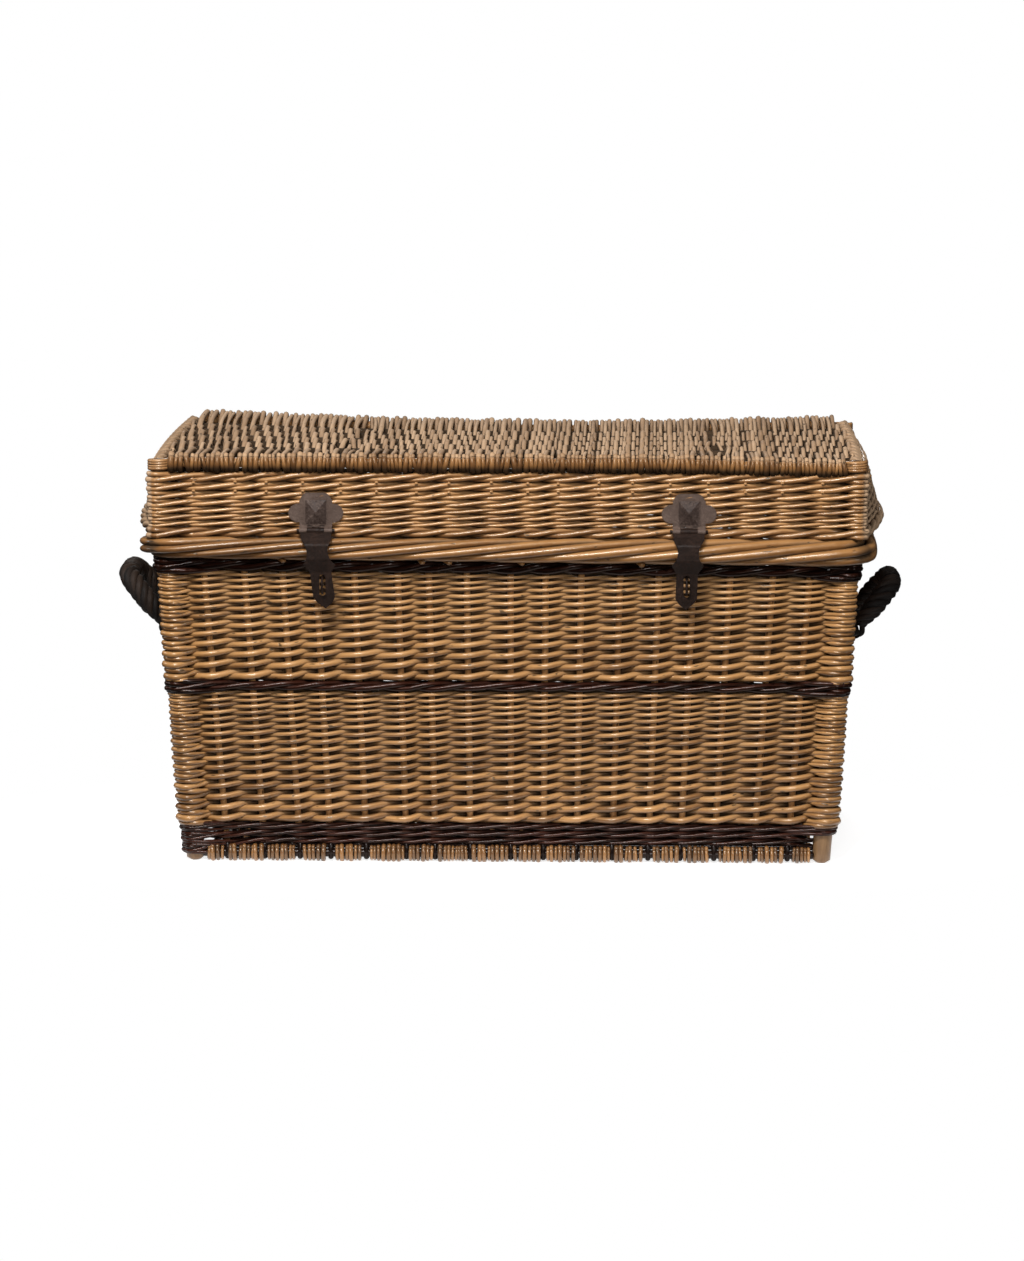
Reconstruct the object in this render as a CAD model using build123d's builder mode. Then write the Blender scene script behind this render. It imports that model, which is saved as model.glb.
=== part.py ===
"""Woven willow trunk used as a laundry hamper: a leaning basket, a hinged basket lid,
two hasps over staples, two rope handles and willow ring hinges. Millimetres, +Z up,
front towards -Y, origin on the floor under the middle of the base."""

import os
from math import cos, radians, sin

from build123d import *

# ---- Driving dimensions: body ---------------------------------------------------------
FOOT_HALF_X = 377.0  # outermost half width of the corner columns at the floor
FOOT_HALF_Y = 209.0  # outermost half depth of the corner columns at the floor
LEAN = 0.0754  # every wall leans out this much for each millimetre of height
POST_RADIUS = 11.0
COLUMN_RADIUS = 18.0  # corner post with the rods wrapped round it
STAKE_RADIUS = 3.8
GRIP = 0.25  # room between a stake or post and the weave round it
WEAVE_HALF = 10.0  # half thickness of a woven wall
WALE_HALF = 12.0  # half thickness of a dark waling band
FRONT_STAKES = 17
SIDE_STAKES = 9

BASE_TOP = 20.0
BASE_PANEL_TOP = 14.0
BOTTOM_WALE_TOP = 45.0
LOWER_WEAVE_TOP = 200.0
MIDDLE_WALE_TOP = 212.0
UPPER_WEAVE_TOP = 331.0
TOP_WALE_TOP = 345.0
BORDER_TOP = 380.0
STAKE_TOP = 371.0
STAKE_HOLE_STOP = 8.0  # keeps the border's blind holes under its top
POST_TOP = 377.0
BORDER_HALF_X = 421.0
BORDER_HALF_Y = 253.0
BORDER_WIDTH = 42.0
BORDER_ROUND = 13.0

# ---- Driving dimensions: lid ----------------------------------------------------------
LID_HALF_X = 410.0
LID_HALF_Y = 240.0
LID_POST_RADIUS = 9.0
LID_COLUMN_RADIUS = 16.0
LID_WEAVE_HALF = 9.0
LID_RIM_HALF = 11.0
LID_END_BOW = 20.0  # how far the middle of each end wall bows out
LID_FRONT_STAKES = 18
LID_SIDE_STAKES = 10
LID_BOTTOM = 381.0
LID_RIM_TOP = 391.0
LID_WALL_TOP = 453.0
LID_PANEL_BOTTOM = 455.0
LID_PANEL_TOP = 471.0
LID_EDGE_RADIUS = 11.0  # wrapped edge stick, weavers included
LID_TOP = 475.0
LID_POST_TOP = 472.0

# ---- Driving dimensions: sticks of the base and the lid top ---------------------------
STICK_RADIUS = 4.5
EDGE_STICK_RADIUS = 6.5
STICK_COUNT = 6

# ---- Driving dimensions: hinge, hasps and handles -------------------------------------
HINGE_Y = 246.5
HINGE_Z = 389.0
RAIL_RADIUS = 5.8
RAIL_HALF_LENGTH = 372.0
RING_MAJOR = 8.8
RING_MINOR = 2.4
RING_SPACING = 250.0
RING_ROOM = 0.9  # room round each ring in the lid
RING_TIE_OUT = 257.5  # how far back each ring's tie runs down behind the border

HASPS = {"left": (-216.0, 0.13), "right": (206.0, -0.04)}  # middle, sideways lean
PIN_OUT = 239.0  # distance of the hasp pin in front of the middle of the trunk
PIN_Z = 388.0
PIN_RADIUS = 1.5
PIN_ROOM = 0.05
KNUCKLE_RADIUS = 3.2
PLATE_THICK = 1.6
STUD_Z = 408.5
STUD_WIDTH = 25.0
STUD_HEIGHT = 29.0
STUD_RISE = 6.0
STRAP_THICK = 1.8
SLOT_Z = 327.0
SLOT_HEIGHT = 25.0
SLOT_WIDTH = 7.0
STAPLE_RADIUS = 1.4
STAPLE_OUT = 257.0
STAPLE_HALF_HEIGHT = 8.5

HANDLE_Z = 252.0
HANDLE_OFF = 13.5  # handle bar's distance from the end wall
HANDLE_RAISED = 50.0  # degrees above level
HANDLE_REACH = 78.0
HANDLE_HALF = 58.0
ROPE_RADIUS = 11.5
EYE_MAJOR = 8.5
EYE_MINOR = 3.5
BAR_RADIUS = 4.0
BAR_HALF = 100.0
BAR_DEEP = 8.0  # how far the bar's ends go into the end wall

LID_FACE = LID_HALF_Y - LID_COLUMN_RADIUS + LID_WEAVE_HALF
EPS = 0.2  # air between neighbouring solids
SIDES = ("front", "back", "left", "right")
pieces = {}


# ---- Shared geometry ------------------------------------------------------------------
def body_centre(z):
    """Half width and half depth of the middle surface of the body walls at height z."""
    return (
        FOOT_HALF_X - COLUMN_RADIUS + LEAN * z,
        FOOT_HALF_Y - COLUMN_RADIUS + LEAN * z,
    )


def lid_centre():
    """Half width and half depth of the middle surface of the lid walls."""
    return LID_HALF_X - LID_COLUMN_RADIUS, LID_HALF_Y - LID_COLUMN_RADIUS


def fractions(count):
    """Even places of a wall's stakes, from -1 to 1 with the corner posts left out."""
    return [2 * (i + 1) / (count + 1) - 1 for i in range(count)]


def stake_places(side, front_count, side_count):
    """(u, v) places of a wall's stakes, as fractions of half width and half depth."""
    if side in ("front", "back"):
        v = -1 if side == "front" else 1
        return [(u, v) for u in fractions(front_count)]
    u = -1 if side == "left" else 1
    return [(u, v) for v in fractions(side_count)]


def body_point(u, v, z):
    """A point of the leaning body wall's middle surface."""
    half_x, half_y = body_centre(z)
    return Vector(u * half_x, v * half_y, z)


def body_rod_plane(u, v, low, high):
    """Plane across a leaning stake below `low`, and the length to run past `high`."""
    foot = body_point(u, v, low - POST_RADIUS)
    head = body_point(u, v, high + POST_RADIUS)
    return Plane(origin=foot, z_dir=head - foot), (head - foot).length


def bow_at(v):
    """Outward bow of the lid's end walls at the fraction v of the half depth."""
    half_y = lid_centre()[1]
    radius = (half_y**2 + LID_END_BOW**2) / (2 * LID_END_BOW)
    return (radius**2 - (v * half_y) ** 2) ** 0.5 - (radius - LID_END_BOW)


def lid_point(u, v):
    """A point of the lid wall's middle line in plan."""
    half_x, half_y = lid_centre()
    bow = bow_at(v) if abs(u) == 1 else 0
    return u * (half_x + bow), v * half_y


# ---- Base -----------------------------------------------------------------------------
def base_stick_places():
    """Distances from the middle of the inner sticks of the base."""
    half = FOOT_HALF_Y - 2 * COLUMN_RADIUS
    return [half * f for f in fractions(STICK_COUNT)]


base_bead = BASE_TOP / 2
base_edge_y = FOOT_HALF_Y - base_bead
base_half_x, base_half_y = body_centre(0)
base_inner_x = base_half_x - POST_RADIUS - 1

with BuildPart() as base_weave:
    with BuildSketch():
        Rectangle(2 * base_inner_x, 2 * base_edge_y)
        Rectangle(2 * (base_half_x + WEAVE_HALF), 2 * (base_half_y - POST_RADIUS - 1))
    extrude(amount=BASE_TOP)
    for y in (-base_edge_y, base_edge_y):
        with BuildSketch(Plane.YZ.offset(-base_inner_x)):
            with Locations((y, base_bead)):
                Circle(base_bead)
        extrude(amount=2 * base_inner_x)
    with BuildSketch(Plane.XY.offset(BASE_PANEL_TOP)):
        Rectangle(2 * (base_half_x - COLUMN_RADIUS), 2 * (base_half_y - COLUMN_RADIUS))
    extrude(amount=BASE_TOP, mode=Mode.SUBTRACT)
    with BuildSketch(Plane.YZ.offset(-base_inner_x)):
        for y in base_stick_places():
            with Locations((y, BASE_PANEL_TOP / 2)):
                Circle(STICK_RADIUS + GRIP)
        for y in (-base_edge_y, base_edge_y):
            with Locations((y, base_bead)):
                Circle(EDGE_STICK_RADIUS + GRIP)
    extrude(amount=2 * base_inner_x, mode=Mode.SUBTRACT)
pieces["base_weave"] = base_weave

with BuildPart() as base_sticks:
    with BuildSketch(Plane.YZ.offset(-base_inner_x + 1)):
        for y in base_stick_places():
            with Locations((y, BASE_PANEL_TOP / 2)):
                Circle(STICK_RADIUS)
    extrude(amount=2 * (base_inner_x - 1))
pieces["base_sticks"] = base_sticks

with BuildPart() as base_edge_sticks:
    with BuildSketch(Plane.YZ.offset(-base_inner_x + 1)):
        for y in (-base_edge_y, base_edge_y):
            with Locations((y, base_bead)):
                Circle(EDGE_STICK_RADIUS)
    extrude(amount=2 * (base_inner_x - 1))
pieces["base_edge_sticks"] = base_edge_sticks


# ---- Corner posts and stakes of the body ----------------------------------------------
for depth, v in (("front", -1), ("back", 1)):
    for hand, u in (("left", -1), ("right", 1)):
        with BuildPart() as corner_post:
            plane, length = body_rod_plane(u, v, 0, POST_TOP)
            with BuildSketch(plane):
                Circle(POST_RADIUS)
            extrude(amount=length)
            split(bisect_by=Plane.XY, keep=Keep.TOP)
            split(bisect_by=Plane.XY.offset(POST_TOP), keep=Keep.BOTTOM)
        pieces[f"corner_post_{depth}_{hand}"] = corner_post

for side in SIDES:
    with BuildPart() as body_stakes:
        for u, v in stake_places(side, FRONT_STAKES, SIDE_STAKES):
            plane, length = body_rod_plane(u, v, BASE_TOP, STAKE_TOP)
            with BuildSketch(plane):
                Circle(STAKE_RADIUS)
            extrude(amount=length)
        split(bisect_by=Plane.XY.offset(BASE_TOP + EPS), keep=Keep.TOP)
        split(bisect_by=Plane.XY.offset(STAKE_TOP), keep=Keep.BOTTOM)
    pieces[f"{side}_stakes"] = body_stakes


# ---- Woven zones and waling bands of the body -----------------------------------------
def body_band(side, low, high, half_thick, column):
    """One wall's slab from `low` to `high`, with its stakes' holes. The front and back
    slabs wrap round the corner posts in columns, and the end slabs stop at them."""
    with BuildPart() as band:
        corners = [(u, -1 if side == "front" else 1) for u in (-1, 1)]
        if side in ("front", "back"):
            for u, v in corners:
                plane, length = body_rod_plane(u, v, low, high)
                with BuildSketch(plane):
                    Circle(column)
                extrude(amount=length)
            split(bisect_by=Plane.XY.offset(low), keep=Keep.TOP)
            split(bisect_by=Plane.XY.offset(high), keep=Keep.BOTTOM)
        for z in (low, high):
            half_x, half_y = body_centre(z)
            with BuildSketch(Plane.XY.offset(z)):
                if side in ("front", "back"):
                    with Locations((0, corners[0][1] * half_y)):
                        Rectangle(2 * half_x, 2 * half_thick)
                else:
                    with Locations(((-1 if side == "left" else 1) * half_x, 0)):
                        Rectangle(2 * half_thick, 2 * (half_y - column - EPS))
        loft(ruled=True)
        for u, v in stake_places(side, FRONT_STAKES, SIDE_STAKES):
            plane, length = body_rod_plane(u, v, low, high)
            with BuildSketch(plane):
                Circle(STAKE_RADIUS + GRIP)
            extrude(amount=length, mode=Mode.SUBTRACT)
        if side in ("front", "back"):
            for u, v in corners:
                plane, length = body_rod_plane(u, v, low, high)
                with BuildSketch(plane):
                    Circle(POST_RADIUS + GRIP)
                extrude(amount=length, mode=Mode.SUBTRACT)
    return band


for zone, low, high in (
    ("lower_weave", BOTTOM_WALE_TOP, LOWER_WEAVE_TOP),
    ("upper_weave", MIDDLE_WALE_TOP, UPPER_WEAVE_TOP),
):
    for side in SIDES:
        pieces[f"{zone}_{side}"] = body_band(side, low, high, WEAVE_HALF, COLUMN_RADIUS)

for name, low, high in (
    ("bottom_wale", BASE_TOP, BOTTOM_WALE_TOP),
    ("middle_wale", LOWER_WEAVE_TOP, MIDDLE_WALE_TOP),
    ("top_wale", UPPER_WEAVE_TOP, TOP_WALE_TOP),
):
    bands = [body_band(side, low, high, WALE_HALF, COLUMN_RADIUS + 1) for side in SIDES]
    with BuildPart() as wale:
        for band in bands:
            add(band.part)
    pieces[name] = wale


# ---- Rope border round the body's mouth -----------------------------------------------
with BuildPart() as border:
    inner_y = BORDER_HALF_Y - BORDER_WIDTH
    inner_x = BORDER_HALF_X - BORDER_WIDTH
    with BuildSketch(Plane.XY.offset(TOP_WALE_TOP)):
        RectangleRounded(2 * BORDER_HALF_X, 2 * BORDER_HALF_Y, 24)
        Rectangle(2 * inner_x, 2 * inner_y, mode=Mode.SUBTRACT)
    extrude(amount=BORDER_TOP - TOP_WALE_TOP)
    level_rims = border.edges().filter_by(
        lambda e: e.bounding_box().size.Z < 1
        and (abs(e.center().X) > inner_x + 12 or abs(e.center().Y) > inner_y + 12)
    )
    fillet(level_rims, radius=BORDER_ROUND)
    for side in SIDES:
        for u, v in stake_places(side, FRONT_STAKES, SIDE_STAKES):
            plane, length = body_rod_plane(u, v, TOP_WALE_TOP, STAKE_TOP - STAKE_HOLE_STOP)
            with BuildSketch(plane):
                Circle(STAKE_RADIUS + GRIP)
            extrude(amount=length, mode=Mode.SUBTRACT)
    for u in (-1, 1):
        for v in (-1, 1):
            plane, length = body_rod_plane(u, v, TOP_WALE_TOP, BORDER_TOP)
            with BuildSketch(plane):
                Circle(POST_RADIUS + GRIP)
            extrude(amount=length, mode=Mode.SUBTRACT)
    with BuildSketch(Plane.XY.offset(TOP_WALE_TOP - 1)):
        for v in (-1, 1):
            with Locations((0, v * inner_y)):
                Rectangle(3 * BORDER_HALF_X, EPS)
    extrude(amount=BORDER_TOP, mode=Mode.SUBTRACT)
pieces["border"] = border


# ---- Lid top --------------------------------------------------------------------------
def lid_stick_places():
    """Distances from the middle of the inner sticks of the lid top."""
    half = LID_HALF_Y - 2 * LID_EDGE_RADIUS
    return [half * f for f in fractions(STICK_COUNT)]


def bowed_strip(half_thick, half_length):
    """The plan of the right end wall: a strip that bows outwards in its middle."""
    half_x, half_y = lid_centre()
    tip_x = half_x + bow_at(half_length / half_y)
    crown_x = half_x + LID_END_BOW
    with BuildSketch() as strip:
        with BuildLine():
            for off in (-half_thick, half_thick):
                ThreePointArc(
                    (tip_x + off, -half_length), (crown_x + off, 0), (tip_x + off, half_length)
                )
            for y in (-half_length, half_length):
                Line((tip_x - half_thick, y), (tip_x + half_thick, y))
        make_face()
    return strip.sketch


lid_half_x, lid_half_y = lid_centre()
lid_edge_y = LID_HALF_Y - LID_EDGE_RADIUS
lid_edge_z = LID_TOP - LID_EDGE_RADIUS
lid_edge_x = lid_half_x - LID_POST_RADIUS - 1
lid_stick_z = (LID_PANEL_BOTTOM + LID_PANEL_TOP) / 2
panel_half_y = lid_half_y - LID_POST_RADIUS - 1

with BuildPart() as lid_top_weave:
    with BuildSketch(Plane.XY.offset(LID_PANEL_BOTTOM)):
        Rectangle(2 * lid_edge_x, 2 * lid_edge_y)
        Rectangle(2 * lid_half_x, 2 * panel_half_y)
        with BuildLine():
            tip = lid_half_x + bow_at(panel_half_y / lid_half_y) + LID_WEAVE_HALF
            crown = lid_half_x + LID_END_BOW + LID_WEAVE_HALF
            ThreePointArc((tip, -panel_half_y), (crown, 0), (tip, panel_half_y))
            Line((tip, panel_half_y), (-tip, panel_half_y))
            ThreePointArc((-tip, panel_half_y), (-crown, 0), (-tip, -panel_half_y))
            Line((-tip, -panel_half_y), (tip, -panel_half_y))
        make_face()
    extrude(amount=LID_PANEL_TOP - LID_PANEL_BOTTOM)
    for y in (-lid_edge_y, lid_edge_y):
        with BuildSketch(Plane.YZ.offset(-lid_edge_x)):
            with Locations((y, lid_edge_z)):
                Circle(LID_EDGE_RADIUS)
        extrude(amount=2 * lid_edge_x)
    with BuildSketch(Plane.YZ.offset(-lid_half_x)):
        for y in lid_stick_places():
            with Locations((y, lid_stick_z)):
                Circle(STICK_RADIUS + GRIP)
    extrude(amount=2 * lid_half_x, mode=Mode.SUBTRACT)
    with BuildSketch(Plane.YZ.offset(-lid_edge_x)):
        for y in (-lid_edge_y, lid_edge_y):
            with Locations((y, lid_edge_z)):
                Circle(EDGE_STICK_RADIUS + GRIP)
    extrude(amount=2 * lid_edge_x, mode=Mode.SUBTRACT)
pieces["lid_top_weave"] = lid_top_weave

with BuildPart() as lid_sticks:
    with BuildSketch(Plane.YZ.offset(-lid_half_x + 1)):
        for y in lid_stick_places():
            with Locations((y, lid_stick_z)):
                Circle(STICK_RADIUS)
    extrude(amount=2 * (lid_half_x - 1))
pieces["lid_sticks"] = lid_sticks

with BuildPart() as lid_edge_sticks:
    with BuildSketch(Plane.YZ.offset(-lid_edge_x + 1)):
        for y in (-lid_edge_y, lid_edge_y):
            with Locations((y, lid_edge_z)):
                Circle(EDGE_STICK_RADIUS)
    extrude(amount=2 * (lid_edge_x - 1))
pieces["lid_edge_sticks"] = lid_edge_sticks


# ---- Lid posts, stakes, walls and rim -------------------------------------------------
for depth, v in (("front", -1), ("back", 1)):
    for hand, u in (("left", -1), ("right", 1)):
        with BuildPart() as lid_post:
            with BuildSketch(Plane.XY.offset(LID_BOTTOM)):
                with Locations((u * lid_half_x, v * lid_half_y)):
                    Circle(LID_POST_RADIUS)
            extrude(amount=LID_POST_TOP - LID_BOTTOM)
        pieces[f"lid_post_{depth}_{hand}"] = lid_post

for side in SIDES:
    with BuildPart() as lid_stakes:
        with BuildSketch(Plane.XY.offset(LID_BOTTOM + EPS)):
            for u, v in stake_places(side, LID_FRONT_STAKES, LID_SIDE_STAKES):
                with Locations(lid_point(u, v)):
                    Circle(STAKE_RADIUS)
        extrude(amount=LID_WALL_TOP - LID_BOTTOM - 2 * EPS)
    pieces[f"lid_{side}_stakes"] = lid_stakes


def ring_places():
    """Places along the hinge of its willow rings."""
    return (-RING_SPACING, 0, RING_SPACING)


def lid_band(side, low, high, half_thick, column):
    """One lid wall's slab from `low` to `high`, with its stakes' holes. Front and back
    wrap round the lid posts, and the back is cut clear of the hinge rail and rings."""
    with BuildPart() as band:
        with BuildSketch(Plane.XY.offset(low)) as plan:
            if side in ("front", "back"):
                v = -1 if side == "front" else 1
                with Locations((0, v * lid_half_y)):
                    Rectangle(2 * lid_half_x, 2 * half_thick)
                if side == "back" and low == LID_BOTTOM:
                    reach = HINGE_Y - RAIL_RADIUS - lid_half_y
                    with Locations((0, lid_half_y + reach / 2)):
                        Rectangle(2 * RAIL_HALF_LENGTH, reach)
                for u in (-1, 1):
                    with Locations((u * lid_half_x, v * lid_half_y)):
                        Circle(column)
                        Circle(LID_POST_RADIUS + GRIP, mode=Mode.SUBTRACT)
            else:
                turn = 180 if side == "left" else 0
                with Locations(Location((0, 0, 0), (0, 0, turn))):
                    add(bowed_strip(half_thick, lid_half_y - column - EPS))
            for u, v in stake_places(side, LID_FRONT_STAKES, LID_SIDE_STAKES):
                with Locations(lid_point(u, v)):
                    Circle(STAKE_RADIUS + GRIP, mode=Mode.SUBTRACT)
        extrude(amount=high - low)
        if side == "back":
            for x in ring_places():
                width = 2 * (RING_MINOR + RING_ROOM)
                with BuildSketch(Plane.YZ.offset(x - width / 2)):
                    with Locations((HINGE_Y, HINGE_Z)):
                        Circle(RING_MAJOR + RING_MINOR + RING_ROOM)
                extrude(amount=width, mode=Mode.SUBTRACT)
            with BuildSketch(Plane.YZ.offset(-RAIL_HALF_LENGTH - 1)):
                with Locations((HINGE_Y, HINGE_Z)):
                    Circle(RAIL_RADIUS + PIN_ROOM)
            extrude(amount=2 * RAIL_HALF_LENGTH + 2, mode=Mode.SUBTRACT)
    return band


for side in SIDES:
    top = LID_WALL_TOP if side in ("front", "back") else LID_PANEL_BOTTOM
    pieces[f"lid_weave_{side}"] = lid_band(
        side, LID_RIM_TOP, top, LID_WEAVE_HALF, LID_COLUMN_RADIUS
    )

rims = [
    lid_band(side, LID_BOTTOM, LID_RIM_TOP, LID_RIM_HALF, LID_COLUMN_RADIUS)
    for side in SIDES
]
with BuildPart() as lid_rim:
    for rim in rims:
        add(rim.part)
pieces["lid_rim"] = lid_rim

with BuildPart() as hinge_rail:
    with BuildSketch(Plane.YZ.offset(-RAIL_HALF_LENGTH)):
        with Locations((HINGE_Y, HINGE_Z)):
            Circle(RAIL_RADIUS)
    extrude(amount=2 * RAIL_HALF_LENGTH)
pieces["hinge_rail"] = hinge_rail

with BuildPart() as hinge_rings:
    with Locations(*[Location((x, HINGE_Y, HINGE_Z), (0, 90, 0)) for x in ring_places()]):
        Torus(RING_MAJOR, RING_MINOR)
    for x in ring_places():
        with BuildLine() as tie:
            FilletPolyline(
                (x, HINGE_Y + RING_MAJOR, HINGE_Z),
                (x, RING_TIE_OUT, HINGE_Z - 12),
                (x, RING_TIE_OUT, TOP_WALE_TOP - 4),
                (x, body_centre(TOP_WALE_TOP)[1] + (WALE_HALF + RING_MINOR) / 2, TOP_WALE_TOP - 8),
                radius=6,
            )
        with BuildSketch(Plane(origin=tie.line @ 0, z_dir=tie.line % 0)):
            Circle(RING_MINOR)
        sweep()
pieces["hinge_rings"] = hinge_rings


# ---- Hasps ----------------------------------------------------------------------------
def barrels(middle, spans, radius, mode=Mode.ADD):
    """Add round lengths on the hasp pin's axis, one for each span beside `middle`."""
    for start, end in spans:
        centre = (middle + (start + end) / 2, -PIN_OUT, PIN_Z)
        with Locations(Location(centre, (0, 90, 0))):
            Cylinder(radius, end - start, mode=mode)


for hand, (middle, lean) in HASPS.items():
    outer_spans = ((-18.5, -9.9), (9.9, 18.5))
    prongs = (STUD_Z + STUD_HEIGHT / 2 + 1.2, STUD_Z - STUD_HEIGHT / 2 - 1.2)
    plate_plane = Plane(origin=(middle, -LID_FACE, STUD_Z), x_dir=(1, 0, 0), z_dir=(0, -1, 0))

    with BuildPart() as hasp_plate:
        with BuildSketch(plate_plane):
            with Locations((0, -1.5)):
                Rectangle(37, 32)
            for x in (-20, 20):
                with Locations((x, -1)):
                    Ellipse(11, 10.5)
            with Locations((0, 10)):
                RectangleRounded(35, 24, 9)
        extrude(amount=PLATE_THICK)
        for start, end in outer_spans:
            with BuildSketch(Plane.YZ.offset(middle + start)):
                with BuildLine():
                    Polyline(
                        (-LID_FACE, PIN_Z + KNUCKLE_RADIUS),
                        (-LID_FACE, PIN_Z + 6),
                        (-LID_FACE - PLATE_THICK, PIN_Z + 6),
                        (-PIN_OUT - 1, PIN_Z + KNUCKLE_RADIUS - 0.5),
                        (-PIN_OUT, PIN_Z + KNUCKLE_RADIUS - 1.5),
                        (-PIN_OUT + 2.6, PIN_Z + KNUCKLE_RADIUS),
                        close=True,
                    )
                make_face()
            extrude(amount=end - start)
        barrels(middle, outer_spans, KNUCKLE_RADIUS)
        barrels(middle, ((-20, 20),), PIN_RADIUS + PIN_ROOM, Mode.SUBTRACT)
        with BuildSketch(plate_plane):
            for z in prongs:
                with Locations((0, z - STUD_Z)):
                    Rectangle(8.4, 2.0)
        extrude(amount=PLATE_THICK, mode=Mode.SUBTRACT)
    pieces[f"hasp_plate_{hand}"] = hasp_plate

    with BuildPart() as hasp_stud:
        with BuildSketch(plate_plane.offset(PLATE_THICK)):
            Rectangle(STUD_WIDTH, STUD_HEIGHT)
        extrude(amount=1.2)
        with BuildSketch(plate_plane.offset(PLATE_THICK + 1.2)):
            Rectangle(STUD_WIDTH - 1.5, STUD_HEIGHT - 1.5)
        with BuildSketch(plate_plane.offset(PLATE_THICK + STUD_RISE)):
            Rectangle(1.5, 1.5)
        loft(ruled=True)
        with BuildSketch(plate_plane.offset(PLATE_THICK)):
            Rectangle(8, STUD_HEIGHT + 4)
        extrude(amount=0.8)
        with BuildSketch(plate_plane.offset(PLATE_THICK)):
            for z in prongs:
                with Locations((0, z - STUD_Z)):
                    Rectangle(8, 1.6)
        extrude(amount=-(PLATE_THICK + 2 * LID_WEAVE_HALF + 2.5))
    pieces[f"hasp_stud_{hand}"] = hasp_stud

    with BuildPart() as backing_plate:
        with BuildSketch(plate_plane.offset(-2 * LID_WEAVE_HALF)):
            with Locations((0, 0.6)):
                RectangleRounded(36, 35.4, 4)
            for z in prongs:
                with Locations((0, z - STUD_Z)):
                    Rectangle(8.4, 2.0, mode=Mode.SUBTRACT)
        extrude(amount=-1.5)
    pieces[f"backing_plate_{hand}"] = backing_plate

    with BuildPart() as hasp_pin:
        barrels(middle, ((-21, 21),), PIN_RADIUS)
        barrels(middle, ((-21.5, -18.8), (18.8, 21.5)), PIN_RADIUS + 0.6)
    pieces[f"hasp_pin_{hand}"] = hasp_pin

    def leaned(x, z):
        """A point of the strap's outline, moved sideways by its lean."""
        return middle + x + lean * (PIN_Z - z), z

    with BuildPart() as hasp_strap:
        with BuildSketch(Plane.YZ.offset(middle - 40)):
            with BuildLine():
                FilletPolyline(
                    (-PIN_OUT, PIN_Z - KNUCKLE_RADIUS + STRAP_THICK / 2),
                    (-PIN_OUT - 4, PIN_Z - KNUCKLE_RADIUS + STRAP_THICK / 2),
                    (-257.5, 374),
                    (-257.5, 357),
                    (-249.5, 342),
                    (-245, 299),
                    radius=3,
                )
            trace(line_width=STRAP_THICK)
        extrude(amount=80)
        with BuildSketch(Plane.XZ.offset(PIN_OUT - 10)):
            with BuildLine():
                for flip in (-1, 1):
                    Line(leaned(flip * 17.5, 392), leaned(flip * 17.5, 380))
                    Spline(
                        leaned(flip * 17.5, 380),
                        leaned(flip * 11.7, 366),
                        leaned(flip * 18.3, 351),
                    )
                    Polyline(
                        leaned(flip * 18.3, 351),
                        leaned(flip * 12.2, 342),
                        leaned(flip * 12.2, 313),
                        leaned(flip * 8.5, 307),
                        leaned(0, 300),
                    )
                Line(leaned(-17.5, 392), leaned(17.5, 392))
            make_face()
            with Locations(leaned(0, SLOT_Z)):
                SlotOverall(SLOT_HEIGHT, SLOT_WIDTH, rotation=90, mode=Mode.SUBTRACT)
        extrude(amount=60, mode=Mode.INTERSECT)
        for x in (-14.8, 14.8):
            with Locations((middle + x, -PIN_OUT, PIN_Z)):
                Box(10.4, 2 * KNUCKLE_RADIUS + 1, 2 * KNUCKLE_RADIUS + 1, mode=Mode.SUBTRACT)
        barrels(middle, ((-9.6, 9.6),), KNUCKLE_RADIUS)
        barrels(middle, ((-20, 20),), PIN_RADIUS + PIN_ROOM, Mode.SUBTRACT)
    pieces[f"hasp_strap_{hand}"] = hasp_strap

    staple_x = leaned(0, SLOT_Z)[0]
    wall_out = body_centre(SLOT_Z)[1] + WEAVE_HALF
    with BuildPart() as staple:
        with BuildLine() as wire:
            FilletPolyline(
                (staple_x, -(wall_out - 8), SLOT_Z + STAPLE_HALF_HEIGHT),
                (staple_x, -STAPLE_OUT, SLOT_Z + STAPLE_HALF_HEIGHT),
                (staple_x, -STAPLE_OUT, SLOT_Z - STAPLE_HALF_HEIGHT),
                (staple_x, -(wall_out - 8), SLOT_Z - STAPLE_HALF_HEIGHT),
                radius=STAPLE_HALF_HEIGHT - 1.5,
            )
        with BuildSketch(Plane(origin=wire.line @ 0, z_dir=wire.line % 0)):
            Circle(STAPLE_RADIUS)
        sweep()
    pieces[f"staple_{hand}"] = staple


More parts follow.
